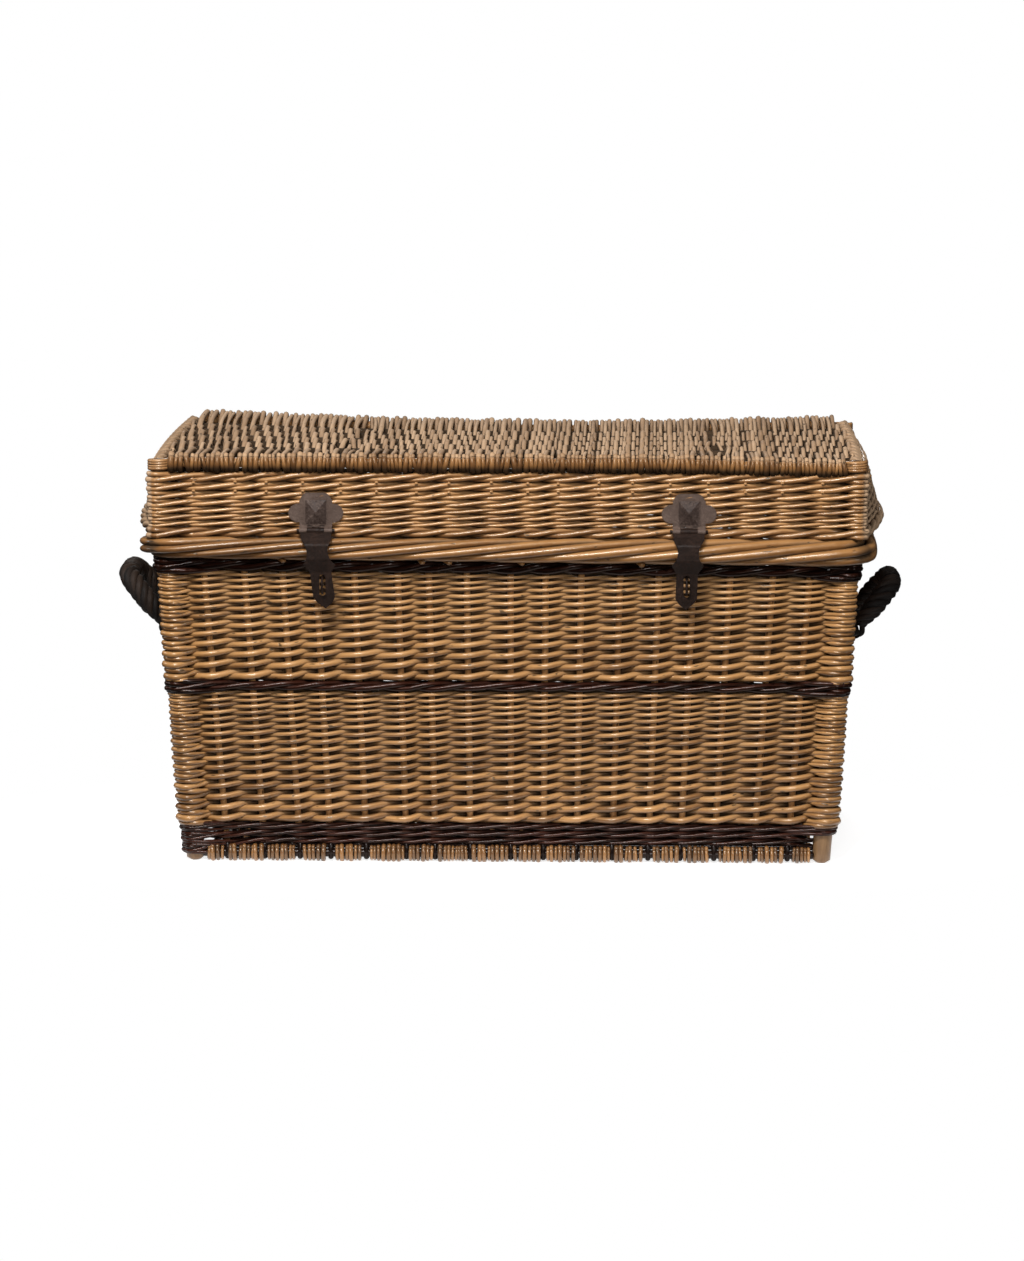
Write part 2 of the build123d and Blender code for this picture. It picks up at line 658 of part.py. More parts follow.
# ---- Rope handles and their bars ------------------------------------------------------
handle_x = body_centre(HANDLE_Z)[0] + WEAVE_HALF + HANDLE_OFF
for hand, out in (("left", -1), ("right", 1)):
    rise = radians(HANDLE_RAISED)
    arch_plane = Plane(
        origin=(out * handle_x, 0, HANDLE_Z),
        x_dir=(out * cos(rise), 0, sin(rise)),
        z_dir=(-sin(rise), 0, out * cos(rise)),
    )
    with BuildPart() as handle:
        with BuildLine(arch_plane) as arch:
            FilletPolyline(
                (EYE_MAJOR - 1.5, -HANDLE_HALF),
                (HANDLE_REACH, -HANDLE_HALF + 6),
                (HANDLE_REACH, HANDLE_HALF - 6),
                (EYE_MAJOR - 1.5, HANDLE_HALF),
                radius=38,
            )
        with BuildSketch(Plane(origin=arch.line @ 0, z_dir=arch.line % 0)):
            Circle(ROPE_RADIUS)
        sweep()
        eyes = [
            Location((out * handle_x, y, HANDLE_Z), (90, 0, 0))
            for y in (-HANDLE_HALF, HANDLE_HALF)
        ]
        with Locations(*eyes):
            Torus(EYE_MAJOR, EYE_MINOR)
    pieces[f"handle_{hand}"] = handle

    wall_x = body_centre(HANDLE_Z)[0] + WEAVE_HALF - BAR_DEEP
    with BuildPart() as handle_bar:
        with BuildLine() as bar:
            FilletPolyline(
                (out * wall_x, -BAR_HALF, HANDLE_Z),
                (out * handle_x, -BAR_HALF + 6, HANDLE_Z),
                (out * handle_x, BAR_HALF - 6, HANDLE_Z),
                (out * wall_x, BAR_HALF, HANDLE_Z),
                radius=8,
            )
        with BuildSketch(Plane(origin=bar.line @ 0, z_dir=bar.line % 0)):
            Circle(BAR_RADIUS)
        sweep()
    pieces[f"handle_bar_{hand}"] = handle_bar


# ---- Output ---------------------------------------------------------------------------
os.makedirs("parts", exist_ok=True)
for name, piece in pieces.items():
    piece.part.label = name
    export_step(piece.part, f"parts/{name}.step")
print(len(pieces), "nodes")
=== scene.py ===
"""Looks of the woven willow trunk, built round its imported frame. Metres, +Z up, front
towards -Y. Each band of weave is made of its own rods, as tubes gathered into one mesh."""

from math import cos, pi, radians, sin, tau

import bpy
import numpy as np
from mathutils import Euler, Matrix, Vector


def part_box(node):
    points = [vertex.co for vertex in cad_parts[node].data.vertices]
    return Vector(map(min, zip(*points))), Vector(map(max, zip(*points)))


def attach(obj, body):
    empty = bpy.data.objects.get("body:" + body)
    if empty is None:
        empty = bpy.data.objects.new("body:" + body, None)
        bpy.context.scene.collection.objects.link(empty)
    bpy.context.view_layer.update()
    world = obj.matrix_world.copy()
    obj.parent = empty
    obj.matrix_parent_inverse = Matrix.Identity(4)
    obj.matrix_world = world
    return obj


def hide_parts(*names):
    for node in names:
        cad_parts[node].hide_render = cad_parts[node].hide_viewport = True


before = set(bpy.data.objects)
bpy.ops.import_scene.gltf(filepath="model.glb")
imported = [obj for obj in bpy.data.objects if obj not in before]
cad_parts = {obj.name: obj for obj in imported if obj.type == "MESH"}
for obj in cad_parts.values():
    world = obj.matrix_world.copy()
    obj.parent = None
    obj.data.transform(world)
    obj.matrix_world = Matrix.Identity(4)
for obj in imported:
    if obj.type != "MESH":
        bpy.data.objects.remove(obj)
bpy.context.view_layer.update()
MM = 0.001

# ---- Sizes, from the frame where it has them ------------------------------------------
POST_RADIUS = 11 * MM
LID_POST_RADIUS = 9 * MM
STAKE_RADIUS = 3.8 * MM
FRONT_STAKES, SIDE_STAKES = 17, 9
LID_FRONT_STAKES, LID_SIDE_STAKES = 18, 10
STICK_COUNT = 6
STICK_RADIUS = 4.5 * MM
EDGE_STICK_RADIUS = 5.6 * MM
NESTING = 0.92  # how closely a rod lies against the stake it passes
SIDES = ("front", "right", "back", "left")  # in the order that the weavers run

post_low, post_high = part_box("corner_post_front_right")
FOOT_X, FOOT_Y = post_low[0] + POST_RADIUS, -post_high[1] + POST_RADIUS
POST_TOP = post_high[2]
LEAN = (post_high[0] - POST_RADIUS - FOOT_X) / POST_TOP
lid_post_low, lid_post_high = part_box("lid_post_front_right")
LID_X = (lid_post_low[0] + lid_post_high[0]) / 2
LID_Y = -(lid_post_low[1] + lid_post_high[1]) / 2
LID_BOTTOM, LID_POST_TOP = lid_post_low[2], lid_post_high[2]
LID_BOW_LOW, LID_BOW_HIGH = 30 * MM, 2 * MM  # outward bow of the lid's ends, rim and top
SAG_START = 446 * MM  # the lid sags only above this height, from its top's underside up
THIRD_X = 130 * MM  # where the weavers of the lid top and the base change pieces


def span_z(node):
    """Lowest and highest point of a CAD node."""
    low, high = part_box(node)
    return low[2], high[2]


def body_half(z):
    """Half width and half depth of the body walls' middle surface at height z."""
    return FOOT_X + LEAN * z, FOOT_Y + LEAN * z


def lid_half(z):
    """Half width and half depth of the lid walls' middle surface, the same all the way up."""
    return LID_X + 0 * z, LID_Y + 0 * z


def third(x):
    """Name of the piece that a weaver of the lid top or the base belongs to."""
    return "left" if x < -THIRD_X else "middle" if x < THIRD_X else "right"


def no_bow(z):
    """The body's end walls are straight."""
    return 0 * z


def lid_bow(z):
    """Outward bow of the middle of the lid's end walls, which lessens towards the top."""
    share = (z - LID_BOTTOM) / (LID_POST_TOP - LID_BOTTOM)
    return LID_BOW_LOW + (LID_BOW_HIGH - LID_BOW_LOW) * share


# ---- Rods -----------------------------------------------------------------------------
END_SIZE, END_PUSH = 0.55, 0.35  # a cut rod's rounded end, in rod radii


def smooth(points, steps):
    """Catmull-Rom curve through rows of values, with `steps` pieces between two rows."""
    points = np.asarray(points, float)
    ends = (2 * points[0] - points[1], 2 * points[-1] - points[-2])
    p = np.vstack([ends[0], points, ends[1]])
    t = np.linspace(0, 1, steps, endpoint=False)[:, None, None]
    a, b, c, d = p[:-3], p[1:-2], p[2:-1], p[3:]
    curve = 2 * b + (c - a) * t + (2 * a - 5 * b + 4 * c - d) * t**2
    curve = 0.5 * (curve + (3 * b - a - 3 * c + d) * t**3)
    curve = curve.transpose(1, 0, 2).reshape(-1, points.shape[1])
    return np.vstack([curve, points[-1:]])


def unit(vectors):
    """Vectors scaled to length one."""
    length = np.linalg.norm(vectors, axis=-1, keepdims=True)
    return vectors / np.maximum(length, 1e-9)


class Rods:
    """Round rods gathered into one mesh. Each point of a rod's path is a row of x, y, z,
    radius and fade, where fade is 0 for varnished and 1 for weathered willow."""

    def __init__(self, name, seed):
        self.name = name
        self.random = np.random.default_rng(seed)
        self.count = 0
        self.points, self.faces = [], []
        self.tone, self.fade, self.rod_space = [], [], []

    def add(self, path, up=(0, 0, 1), steps=4, sides=8, tone=None, bumps=0.0):
        """Add one rod along `path`, whose section is turned so that `up` is its top."""
        path = np.asarray(path, float)
        if path.shape[1] == 4:
            path = np.hstack([path, np.zeros((len(path), 1))])
        curve = smooth(path, steps) if steps > 1 else path
        centre, radius, fade = curve[:, :3], curve[:, 3].copy(), curve[:, 4].clip(0, 1)
        if tone is None:
            tone = self.random.uniform(0, 1)
        if bumps:
            radius *= 1 + bumps * self.random.standard_normal(len(radius)).clip(-2, 2)
        along = unit(np.gradient(centre, axis=0))
        side = unit(np.cross(along, np.broadcast_to(up, centre.shape)))
        top = np.cross(side, along)
        length = np.linalg.norm(np.diff(centre, axis=0), axis=1)
        travel = np.concatenate([[0], np.cumsum(length)]) + self.random.uniform(0, 9)
        # both ends close with a smaller ring
        order = np.r_[0, np.arange(len(centre)), len(centre) - 1]
        shrink = np.ones(len(order))
        shrink[[0, -1]] = END_SIZE
        push = np.zeros(len(order))
        push[0], push[-1] = -END_PUSH, END_PUSH
        centre = centre[order] + along[order] * (push * radius[order])[:, None]
        around = np.arange(sides) * tau / sides
        ring_cos = np.cos(around)[None, :, None]
        ring_sin = np.sin(around)[None, :, None]
        reach = (radius[order] * shrink)[:, None, None]
        offset = ring_cos * top[order][:, None, :] + ring_sin * side[order][:, None, :]
        verts = centre[:, None, :] + reach * offset
        rings = len(order)
        index = self.count + np.arange(rings * sides).reshape(rings, sides)
        turned = np.roll(index, -1, axis=1)
        quads = np.stack([index[:-1], index[1:], turned[1:], turned[:-1]], axis=-1)
        self.faces.append((quads.reshape(-1, 4), index[0], index[-1][::-1]))
        self.points.append(verts.reshape(-1, 3))
        self.count += rings * sides
        each = np.ones((rings, sides))
        self.tone.append((each * tone).ravel())
        self.fade.append((each * fade[order][:, None]).ravel())
        space = np.empty((rings, sides, 3))
        space[..., 0] = travel[order][:, None]
        space[..., 1] = radius[order][:, None] * np.cos(around)
        space[..., 2] = radius[order][:, None] * np.sin(around)
        self.rod_space.append(space.reshape(-1, 3))

    def make(self, material, body, slot, *nodes, proud=None, shape=None):
        """Build the mesh, put it on its body and hide the CAD nodes that it takes the place of."""
        verts = np.vstack(self.points)
        stood_out = proud(verts) if proud else np.zeros(len(verts))
        if shape:
            verts = shape(verts)
        loops, starts, total = [], [], 0
        for quads, first, last in self.faces:
            for group in (quads, first[None, :], last[None, :]):
                loops.append(group.ravel())
                starts.append(total + np.arange(len(group)) * group.shape[1])
                total += group.size
        loops, starts = np.concatenate(loops), np.concatenate(starts)
        mesh = bpy.data.meshes.new(self.name)
        mesh.vertices.add(len(verts))
        mesh.vertices.foreach_set("co", verts.ravel())
        mesh.loops.add(len(loops))
        mesh.loops.foreach_set("vertex_index", loops)
        mesh.polygons.add(len(starts))
        mesh.polygons.foreach_set("loop_start", starts)
        mesh.update(calc_edges=True)
        mesh.shade_smooth()
        floats = (("tone", np.concatenate(self.tone)), ("fade", np.concatenate(self.fade)))
        for label, values in (*floats, ("proud", stood_out)):
            layer = mesh.attributes.new(label, "FLOAT", "POINT")
            layer.data.foreach_set("value", values.astype(np.float32))
        layer = mesh.attributes.new("rod_space", "FLOAT_VECTOR", "POINT")
        layer.data.foreach_set("vector", np.vstack(self.rod_space).ravel().astype(np.float32))
        mesh.materials.append(material)
        piece = bpy.data.objects.new(self.name, mesh)
        bpy.context.collection.objects.link(piece)
        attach(piece, body)
        if nodes:
            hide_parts(*nodes)


# ---- Rings of posts and stakes --------------------------------------------------------
class Ring:
    """The posts and stakes of one box of weave, in the order that weavers pass them."""

    def __init__(self, half, front_count, side_count, post_radius, seed, bow=no_bow):
        self.half, self.post_radius, self.bow = half, post_radius, bow
        random = np.random.default_rng(seed)
        corners = ((-1, -1), (1, -1), (1, 1), (-1, 1))
        outward = ((0, -1), (1, 0), (0, 1), (-1, 0))
        spots, normals, posts, wall = [], [], [], []
        for i, count in enumerate((front_count, side_count, front_count, side_count)):
            start, end = np.array(corners[i], float), np.array(corners[(i + 1) % 4], float)
            for k in range(count + 1):
                shift = random.uniform(-0.1, 0.1) if k else 0
                spots.append(start + (end - start) * (k + shift) / (count + 1))
                posts.append(k == 0)
                normals.append(outward[i])
                wall.append(i)
        self.spots, self.normals = np.array(spots), np.array(normals, float)
        self.posts, self.wall = posts, wall
        self.count = len(spots)
        self.corners = [place for place in range(self.count) if posts[place]]

    def point(self, place, z, out=0.0, normal=None):
        """A point at a place's stake, `out` from its middle along the wall's normal."""
        u, v = self.spots[place % self.count]
        half_x, half_y = self.half(z)
        half_x = half_x + self.bow(z) * (1 - v * v)
        normal = self.normals[place % self.count] if normal is None else normal
        return np.array([u * half_x + normal[0] * out, v * half_y + normal[1] * out, z])

    def between(self, place, z):
        """A point of the wall's middle surface halfway to the next place."""
        return (self.point(place, z) + self.point(place + 1, z)) / 2

    def diagonal(self, place):
        """The outward direction at a corner post."""
        return unit(self.spots[place % self.count])

    def passing(self, place, z, radius, outside):
        """Path rows of a rod that passes a post or a stake at height z."""
        if not self.posts[place % self.count]:
            out = (STAKE_RADIUS + NESTING * radius) * (1 if outside else -1)
            return [[*self.point(place, z, out), radius]]
        reach = self.post_radius + NESTING * radius
        if not outside:
            return [[*self.point(place, z, -reach, self.diagonal(place)), radius]]
        before, after = self.normals[(place - 1) % self.count], self.normals[place % self.count]
        turns = (before, self.diagonal(place), after)
        return [[*self.point(place, z, reach, turn), radius] for turn in turns]


body_ring = Ring(body_half, FRONT_STAKES, SIDE_STAKES, POST_RADIUS, seed=11)
lid_ring = Ring(lid_half, LID_FRONT_STAKES, LID_SIDE_STAKES, LID_POST_RADIUS, 12, lid_bow)


def proud_of(half, bow=no_bow, depth=11 * MM):
    """How far points stand out of a box of weave, from -1 inside to 1 outside."""

    def measure(points):
        half_x, half_y = half(points[:, 2])
        v = (points[:, 1] / half_y).clip(-1, 1)
        out_x = np.abs(points[:, 0]) - half_x - bow(points[:, 2]) * (1 - v * v)
        return (np.maximum(out_x, np.abs(points[:, 1]) - half_y) / depth).clip(-1, 1)

    return measure


body_proud = proud_of(body_half)
lid_proud = proud_of(lid_half, lid_bow)


def border_rise(points):
    """How far the border's underside lies above its level on the right, as the border
    is thinner on the left."""
    return (6.2 - 8.5 * points[:, 0]) * MM


def rise_with_border(points):
    """The top of the body's weave lifted to meet the border's underside."""
    low, high = span_z("middle_wale")[1], span_z("top_wale")[0]
    lifted = points.copy()
    lifted[:, 2] += border_rise(points) * ((points[:, 2] - low) / (high - low)).clip(0, 1)
    return lifted


def thin_border(points):
    """The border squeezed towards its top where it is thinner."""
    low, high = span_z("border")
    squeezed = points.copy()
    squeezed[:, 2] += border_rise(points) * ((high - points[:, 2]) / (high - low)).clip(0, 1.1)
    return squeezed


# ---- Materials ------------------------------------------------------------------------
class Shader:
    """Short words for building a material's nodes."""

    def __init__(self, name, **constants):
        self.material = bpy.data.materials.new(name)
        self.material.use_nodes = True
        self.tree = self.material.node_tree
        self.surface = self.tree.nodes["Principled BSDF"]
        for socket, value in constants.items():
            self.surface.inputs[socket.replace("_", " ")].default_value = value

    def node(self, kind, inputs=(), **settings):
        """Make a node, set its settings, and link or set its inputs by name or number."""
        made = self.tree.nodes.new("ShaderNode" + kind)
        for key, value in settings.items():
            setattr(made, key, value)
        for key, value in dict(inputs).items():
            if isinstance(value, bpy.types.NodeSocket):
                self.tree.links.new(value, made.inputs[key])
            else:
                made.inputs[key].default_value = value
        return made

    def math(self, operation, first, second=0.0, third=0.0):
        """The result of one sum."""
        inputs = {0: first, 1: second, 2: third}
        return self.node("Math", inputs, operation=operation).outputs[0]

    def attribute(self, label):
        """A value or vector stored on the mesh."""
        made = self.node("Attribute", attribute_name=label)
        return made.outputs["Vector" if label == "rod_space" else "Fac"]

    def noise(self, vector, scale, detail=3.0, rough=0.55, stretch=(1, 1, 1)):
        """Noise from 0 to 1 on a vector that is stretched first."""
        mapped = self.node("Mapping", {"Vector": vector, "Scale": stretch}).outputs[0]
        inputs = {"Vector": mapped, "Scale": scale, "Detail": detail, "Roughness": rough}
        return self.node("TexNoise", inputs).outputs[0]

    def ramp(self, value, *stops):
        """Colour for a value, from (position, colour) stops."""
        made = self.node("ValToRGB", {0: value})
        elements = made.color_ramp.elements
        while len(elements) < len(stops):
            elements.new(0.5)
        for element, (position, colour) in zip(elements, stops):
            element.position = position
            element.color = (*colour, 1)
        return made.outputs[0]

    def band(self, value, low, high, from_value=0.0, to_value=1.0):
        """A smooth step of the value between low and high."""
        inputs = {0: value, 1: low, 2: high, 3: from_value, 4: to_value}
        return self.node("MapRange", inputs, interpolation_type="SMOOTHSTEP").outputs[0]

    def blend(self, factor, first, second):
        """Two colours mixed by a factor. The Mix node keeps its colours at 6, 7 and 2."""
        inputs = {0: factor, 6: first, 7: second}
        return self.node("Mix", inputs, data_type="RGBA").outputs[2]

    def end(self, colour, roughness, height, distance, strength=1.0):
        """Join colour, roughness and bump to the surface."""
        inputs = {"Height": height, "Distance": distance, "Strength": strength}
        bump = self.node("Bump", inputs)
        for value, socket in (
            (colour, "Base Color"),
            (roughness, "Roughness"),
            (bump.outputs[0], "Normal"),
        ):
            self.tree.links.new(value, self.surface.inputs[socket])
        return self.material


def linear(colour):
    """Linear colour from the 0-255 numbers of a colour picker."""
    return tuple(((c / 255 + 0.055) / 1.055) ** 2.4 if c > 10 else c / 3294 for c in colour)


# Dark brown for the knots' stains and also for the painted shade in hollows and under rods.
DIRT_AND_SHADE = (16, 9, 5)
WEATHERED = ((104, 79, 55), (152, 121, 92), (186, 154, 122))


def willow(
    name, colours, dirt_and_shade=DIRT_AND_SHADE, rough=(0.28, 0.44), hollow_shade=0.92, contact_shade=0.85, top_light_under_shade=0.15, **constants
):
    """Willow rods: three colours from dark to light, streaks along the rod, knots stained dark,
    painted shade in the hollows and along each rod's underside and top where rods lie on each
    other, paler thin ends, a painted highlight on the upper sides with painted shade on the
    undersides, and weathered grey-brown where the mesh's fade says so."""
    shader = Shader(name, **constants)
    dark, middle, light = map(linear, colours)
    old_dark, old_middle, old_light = map(linear, WEATHERED)
    dirt_and_shade = (*linear(dirt_and_shade), 1)
    rod = shader.attribute("rod_space")
    place = shader.node("NewGeometry").outputs["Position"]
    streaks = shader.noise(rod, 1.0, 4, 0.6, stretch=(38, 520, 520))
    patches = shader.noise(place, 7.0, 3)
    blotches = shader.noise(rod, 1.0, 3, 0.5, stretch=(75, 160, 160))
    tone = shader.math("MULTIPLY_ADD", shader.attribute("tone"), 0.38, 0.06)
    split = shader.node("SeparateXYZ", {0: rod}).outputs
    flat = shader.node("CombineXYZ", {0: 0.0, 1: split[1], 2: split[2]}).outputs[0]
    radius = shader.node("VectorMath", {0: flat}, operation="LENGTH").outputs["Value"]
    tone = shader.math("ADD", tone, shader.band(radius, 1.2 * MM, 2.6 * MM, 0.2, 0.0))
    upward = shader.math("DIVIDE", split[1], shader.math("MAXIMUM", radius, 0.1 * MM))
    # Painted highlight on each rod's upper side and painted shade on its underside.
    tone = shader.math("ADD", tone, shader.band(upward, -0.5, 0.7, -0.7 * top_light_under_shade, top_light_under_shade))
    tone = shader.math("MULTIPLY_ADD", streaks, 0.35, tone)
    tone = shader.math("MULTIPLY_ADD", patches, 0.3, tone)
    tone = shader.math("MULTIPLY_ADD", blotches, 0.3, tone)
    colour = shader.ramp(tone, (0.36, dark), (0.66, middle), (1.02, light))
    faded = shader.ramp(tone, (0.34, old_dark), (0.6, old_middle), (0.95, old_light))
    fade = shader.attribute("fade")
    worn = shader.math("ADD", fade, shader.math("MULTIPLY_ADD", patches, 0.5, -0.25))
    worn = shader.math("MULTIPLY", shader.band(worn, 0.3, 0.75), shader.band(fade, 0.0, 0.3))
    colour = shader.blend(worn, colour, faded)
    knots = shader.noise(rod, 1.0, 1, 0.4, stretch=(95, 260, 260))
    knots = shader.band(knots, 0.69, 0.76)
    stain = shader.blend(shader.math("MULTIPLY", knots, 0.75), colour, dirt_and_shade)
    proud = shader.attribute("proud")
    # Painted shade: the colour darkens towards the dark brown where a rod lies deep in the weave.
    shade_mask = shader.band(proud, -0.5, 0.65, hollow_shade, 0.0)
    # Painted shade along each rod's underside, and a little along its top, where rods lie on each
    # other.
    contact_shade_mask = shader.band(upward, -1.0, -0.45, contact_shade, 0.0)
    contact_shade_mask = shader.math("ADD", contact_shade_mask, shader.band(upward, 0.8, 1.0, 0.0, 0.45 * contact_shade))
    shade_mask = shader.math("MAXIMUM", shade_mask, contact_shade_mask)
    # The painted shade, made patchy by noise; it also raises the roughness.
    painted_shade = shader.math("MULTIPLY", shade_mask, shader.band(patches, 0.2, 0.6, 0.75, 1.0))
    colour = shader.blend(painted_shade, stain, dirt_and_shade)
    fine = shader.noise(rod, 1.0, 5, 0.65, stretch=(120, 1500, 1500))
    roughness = shader.band(streaks, 0.3, 0.75, *rough)
    roughness = shader.math("MULTIPLY_ADD", worn, 0.35, roughness)
    roughness = shader.math("MULTIPLY_ADD", painted_shade, 0.45, roughness)
    height = shader.math("MULTIPLY_ADD", knots, 1.6, shader.math("ADD", fine, blotches))
    return shader.end(colour, roughness, height, 0.25 * MM, 0.8)


VARNISH = {
    "Coat_Weight": 0.34,
    "Coat_Roughness": 0.12,
    "Specular_IOR_Level": 0.62,
    "Specular_Tint": (1.0, 0.85, 0.64, 1),
}
weave_willow = willow("weave_willow", ((58, 35, 16), (108, 72, 39), (172, 126, 77)), **VARNISH)
border_willow = willow("border_willow", ((68, 40, 18), (110, 72, 37), (154, 109, 63)), **VARNISH)
lid_willow = willow("lid_willow", ((70, 43, 21), (121, 82, 47), (170, 125, 79)), **VARNISH)
top_willow = willow(
    "top_willow",
    ((64, 38, 17), (104, 68, 36), (148, 104, 60)),
    rough=(0.3, 0.46),
    top_light_under_shade=0.0,
    Specular_IOR_Level=0.5,
    Specular_Tint=(1.0, 0.82, 0.6, 1),
)
edge_willow = willow(
    "edge_willow", ((40, 24, 11), (84, 54, 28), (140, 97, 54)), top_light_under_shade=0, **VARNISH
)
# Paler than the weave: painted light that makes up for the shade the rods cast on stakes and
# sticks, with little painted shade of its own.
lit_stake_willow = willow(
    "lit_stake_willow",
    ((104, 68, 37), (152, 107, 65), (188, 142, 94)),
    hollow_shade=0.05,
    contact_shade=0.0,
    top_light_under_shade=0.0,
    Coat_Weight=0.1,
    Coat_Roughness=0.2,
    Specular_IOR_Level=0.25,
    Specular_Tint=(1.0, 0.75, 0.5, 1),
)
post_willow = willow(
    "post_willow",
    ((62, 43, 26), (100, 74, 48), (136, 106, 74)),
    hollow_shade=0.3,
    contact_shade=0.0,
    top_light_under_shade=0.0,
    Specular_IOR_Level=0.3,
)
dark_willow = willow(
    "dark_willow",
    ((6, 2, 1), (17, 7, 4), (46, 21, 13)),
    dirt_and_shade=(2, 1, 1),
    rough=(0.24, 0.36),
    Coat_Weight=0.2,
    Coat_Roughness=0.05,
    Specular_IOR_Level=0.16,
    Specular_Tint=(1.0, 0.6, 0.48, 1),
)
rope_willow = willow(
    "rope_willow",
    ((10, 6, 4), (25, 16, 10), (60, 43, 31)),
    dirt_and_shade=(12, 8, 6),
    rough=(0.4, 0.6),
    Specular_IOR_Level=0.3,
)


RUBBED_IRON = (104, 86, 76)


def iron(name, dark, middle, light, wear=0.45):
    """Old iron with a brown patina, pitted and rubbed bright along its edges."""
    shader = Shader(name, Metallic=0.1, Specular_IOR_Level=0.2)
    geometry = shader.node("NewGeometry")
    place = geometry.outputs["Position"]
    cloud = shader.noise(place, 42.0, 5, 0.6)
    grit = shader.noise(place, 420.0, 4, 0.6)
    pits = shader.noise(place, 950.0, 2, 0.5)
    rubbed = shader.band(geometry.outputs["Pointiness"], 0.515, 0.57)
    tone = shader.math("MULTIPLY_ADD", grit, 0.6, shader.math("MULTIPLY", cloud, 0.5))
    dark, middle, light, bright = map(linear, (dark, middle, light, RUBBED_IRON))
    colour = shader.ramp(tone, (0.34, dark), (0.55, middle), (0.74, light))
    colour = shader.blend(shader.math("MULTIPLY", rubbed, wear), colour, (*bright, 1))
    roughness = shader.band(tone, 0.35, 0.75, 0.42, 0.68)
    height = shader.math("MULTIPLY_ADD", shader.band(pits, 0.3, 0.42), 0.7, cloud)
    return shader.end(colour, roughness, shader.math("ADD", height, grit), 0.5 * MM, 1.0)


def paint(node, material):
    """Give a CAD node its material."""
    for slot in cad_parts[node].material_slots:
        slot.material = material


# ---- Weaves ---------------------------------------------------------------------------
CLIMB_INSIDE = 0.42  # share of a row that a rod has climbed when it passes inside a stake
CLIMB_BEFORE, CLIMB_AFTER = 0.26, 0.8  # and between stakes, before and after that


def geometric_rows(low, high, count, last_to_first):
    """Bottom edges of rows that shrink upwards, and the top edge of the last."""
    sizes = last_to_first ** (np.arange(count) / (count - 1))
    return low + (high - low) * np.concatenate([[0], np.cumsum(sizes / sizes.sum())])


def randing(zone, row_count, seed):
    """French randing: one rod starts at each stake, passes outside it and inside the
    next, and climbs one row for every two stakes while it thins out."""
    low, high = span_z(f"{zone}_weave_front")
    edges = geometric_rows(low, high, row_count, 0.5)
    pitch = np.diff(edges)
    climbing = np.concatenate([edges[:-1] + 0.38 * pitch, [edges[-1]]])
    thickness = 0.3 * pitch
    random = np.random.default_rng(seed)
    wobble = random.normal(0, 0.35, (body_ring.count, row_count + 1)) * MM
    for wall, side in enumerate(SIDES):
        rods = Rods(f"{zone}_randing_{side}", seed + wall)
        for start in [p for p in range(body_ring.count) if body_ring.wall[p] == wall]:
            scale = random.uniform(0.92, 1.08)
            # The upper zone's rods are paler: painted light that makes up for the shade under the
            # border.
            tone = random.beta(2.2, 2.2) + (0.34 if zone == "upper" else 0.03)
            path = []
            for step in range(-1, 2 * row_count):
                row, inside = divmod(step, 2)
                place = start + step
                size, z = thickness[max(row, 0)] * scale, climbing[row] if row >= 0 else low
                z += wobble[place % body_ring.count, row]
                rise = climbing[row + 1] - z
                if inside:
                    z += CLIMB_INSIDE * rise
                path += body_ring.passing(place, z, size * (1.35 if inside else 1), not inside)
                beside = z + (CLIMB_AFTER - CLIMB_INSIDE if inside else CLIMB_BEFORE) * rise
                path.append([*body_ring.between(place, beside), size])
            path.pop()
            rods.add(path, steps=3, tone=tone, bumps=0.012)
        if wall in (0, 2):
            for corner in body_ring.corners:
                if body_ring.wall[corner] in (wall, wall + 1):
                    packing(rods, corner, edges, thickness, random)
        node = f"{zone}_weave_{side}"
        shape = rise_with_border if zone == "upper" else None
        rods.make(weave_willow, "body", "willow_weave", node, proud=body_proud, shape=shape)


def packing(rods, corner, edges, thickness, random):
    """Short rods that wrap a corner post between the rows, with tapered tips."""
    heights = edges[:-1] + 0.94 * np.diff(edges)
    heights = np.concatenate([[edges[0] + 0.1 * thickness[0]], heights])
    corner_wraps(rods, corner, heights, 0.8 * thickness[np.r_[0, : len(thickness)]], random)


def corner_wraps(rods, corner, heights, radii, random, shortest=16, longest=27):
    """Short rods round a corner post of the body, one at each height, whose tapered tips
    reach between the two lengths (in mm) along both walls."""
    before, after = body_ring.normals[corner - 1], body_ring.normals[corner]
    along_before = np.array([before[1], -before[0]])
    along_after = np.array([-after[1], after[0]])
    for z, radius in zip(heights + random.normal(0, 0.3, len(heights)) * MM, radii):
        tips = random.uniform(shortest, longest, 2) * MM
        post = body_ring.point(corner, z)
        reach = POST_RADIUS + NESTING * radius
        halves = []
        for along, normal, tip in ((along_before, before, tips[0]), (along_after, after, tips[1])):
            tip_xy = post[:2] + along * tip + normal * (STAKE_RADIUS * 0.4)
            near_xy = post[:2] + along * tip * 0.45 + normal * (reach - 2.5 * MM)
            wrap_xy = post[:2] + normal * reach
            half = [[*tip_xy, z, radius * 0.45], [*near_xy, z, radius], [*wrap_xy, z, radius]]
            halves.append(half)
        bend_xy = post[:2] + body_ring.diagonal(corner) * reach
        rods.add([*halves[0], [*bend_xy, z, radius], *halves[1][::-1]], tone=random.beta(2, 2))


WALE_HEIGHTS = (-0.9, 0.9, 0.1)  # outside, outside and inside, in rod radii
CORNER_REACH = 45 * MM  # how far along the walls a corner shifts the bottom band


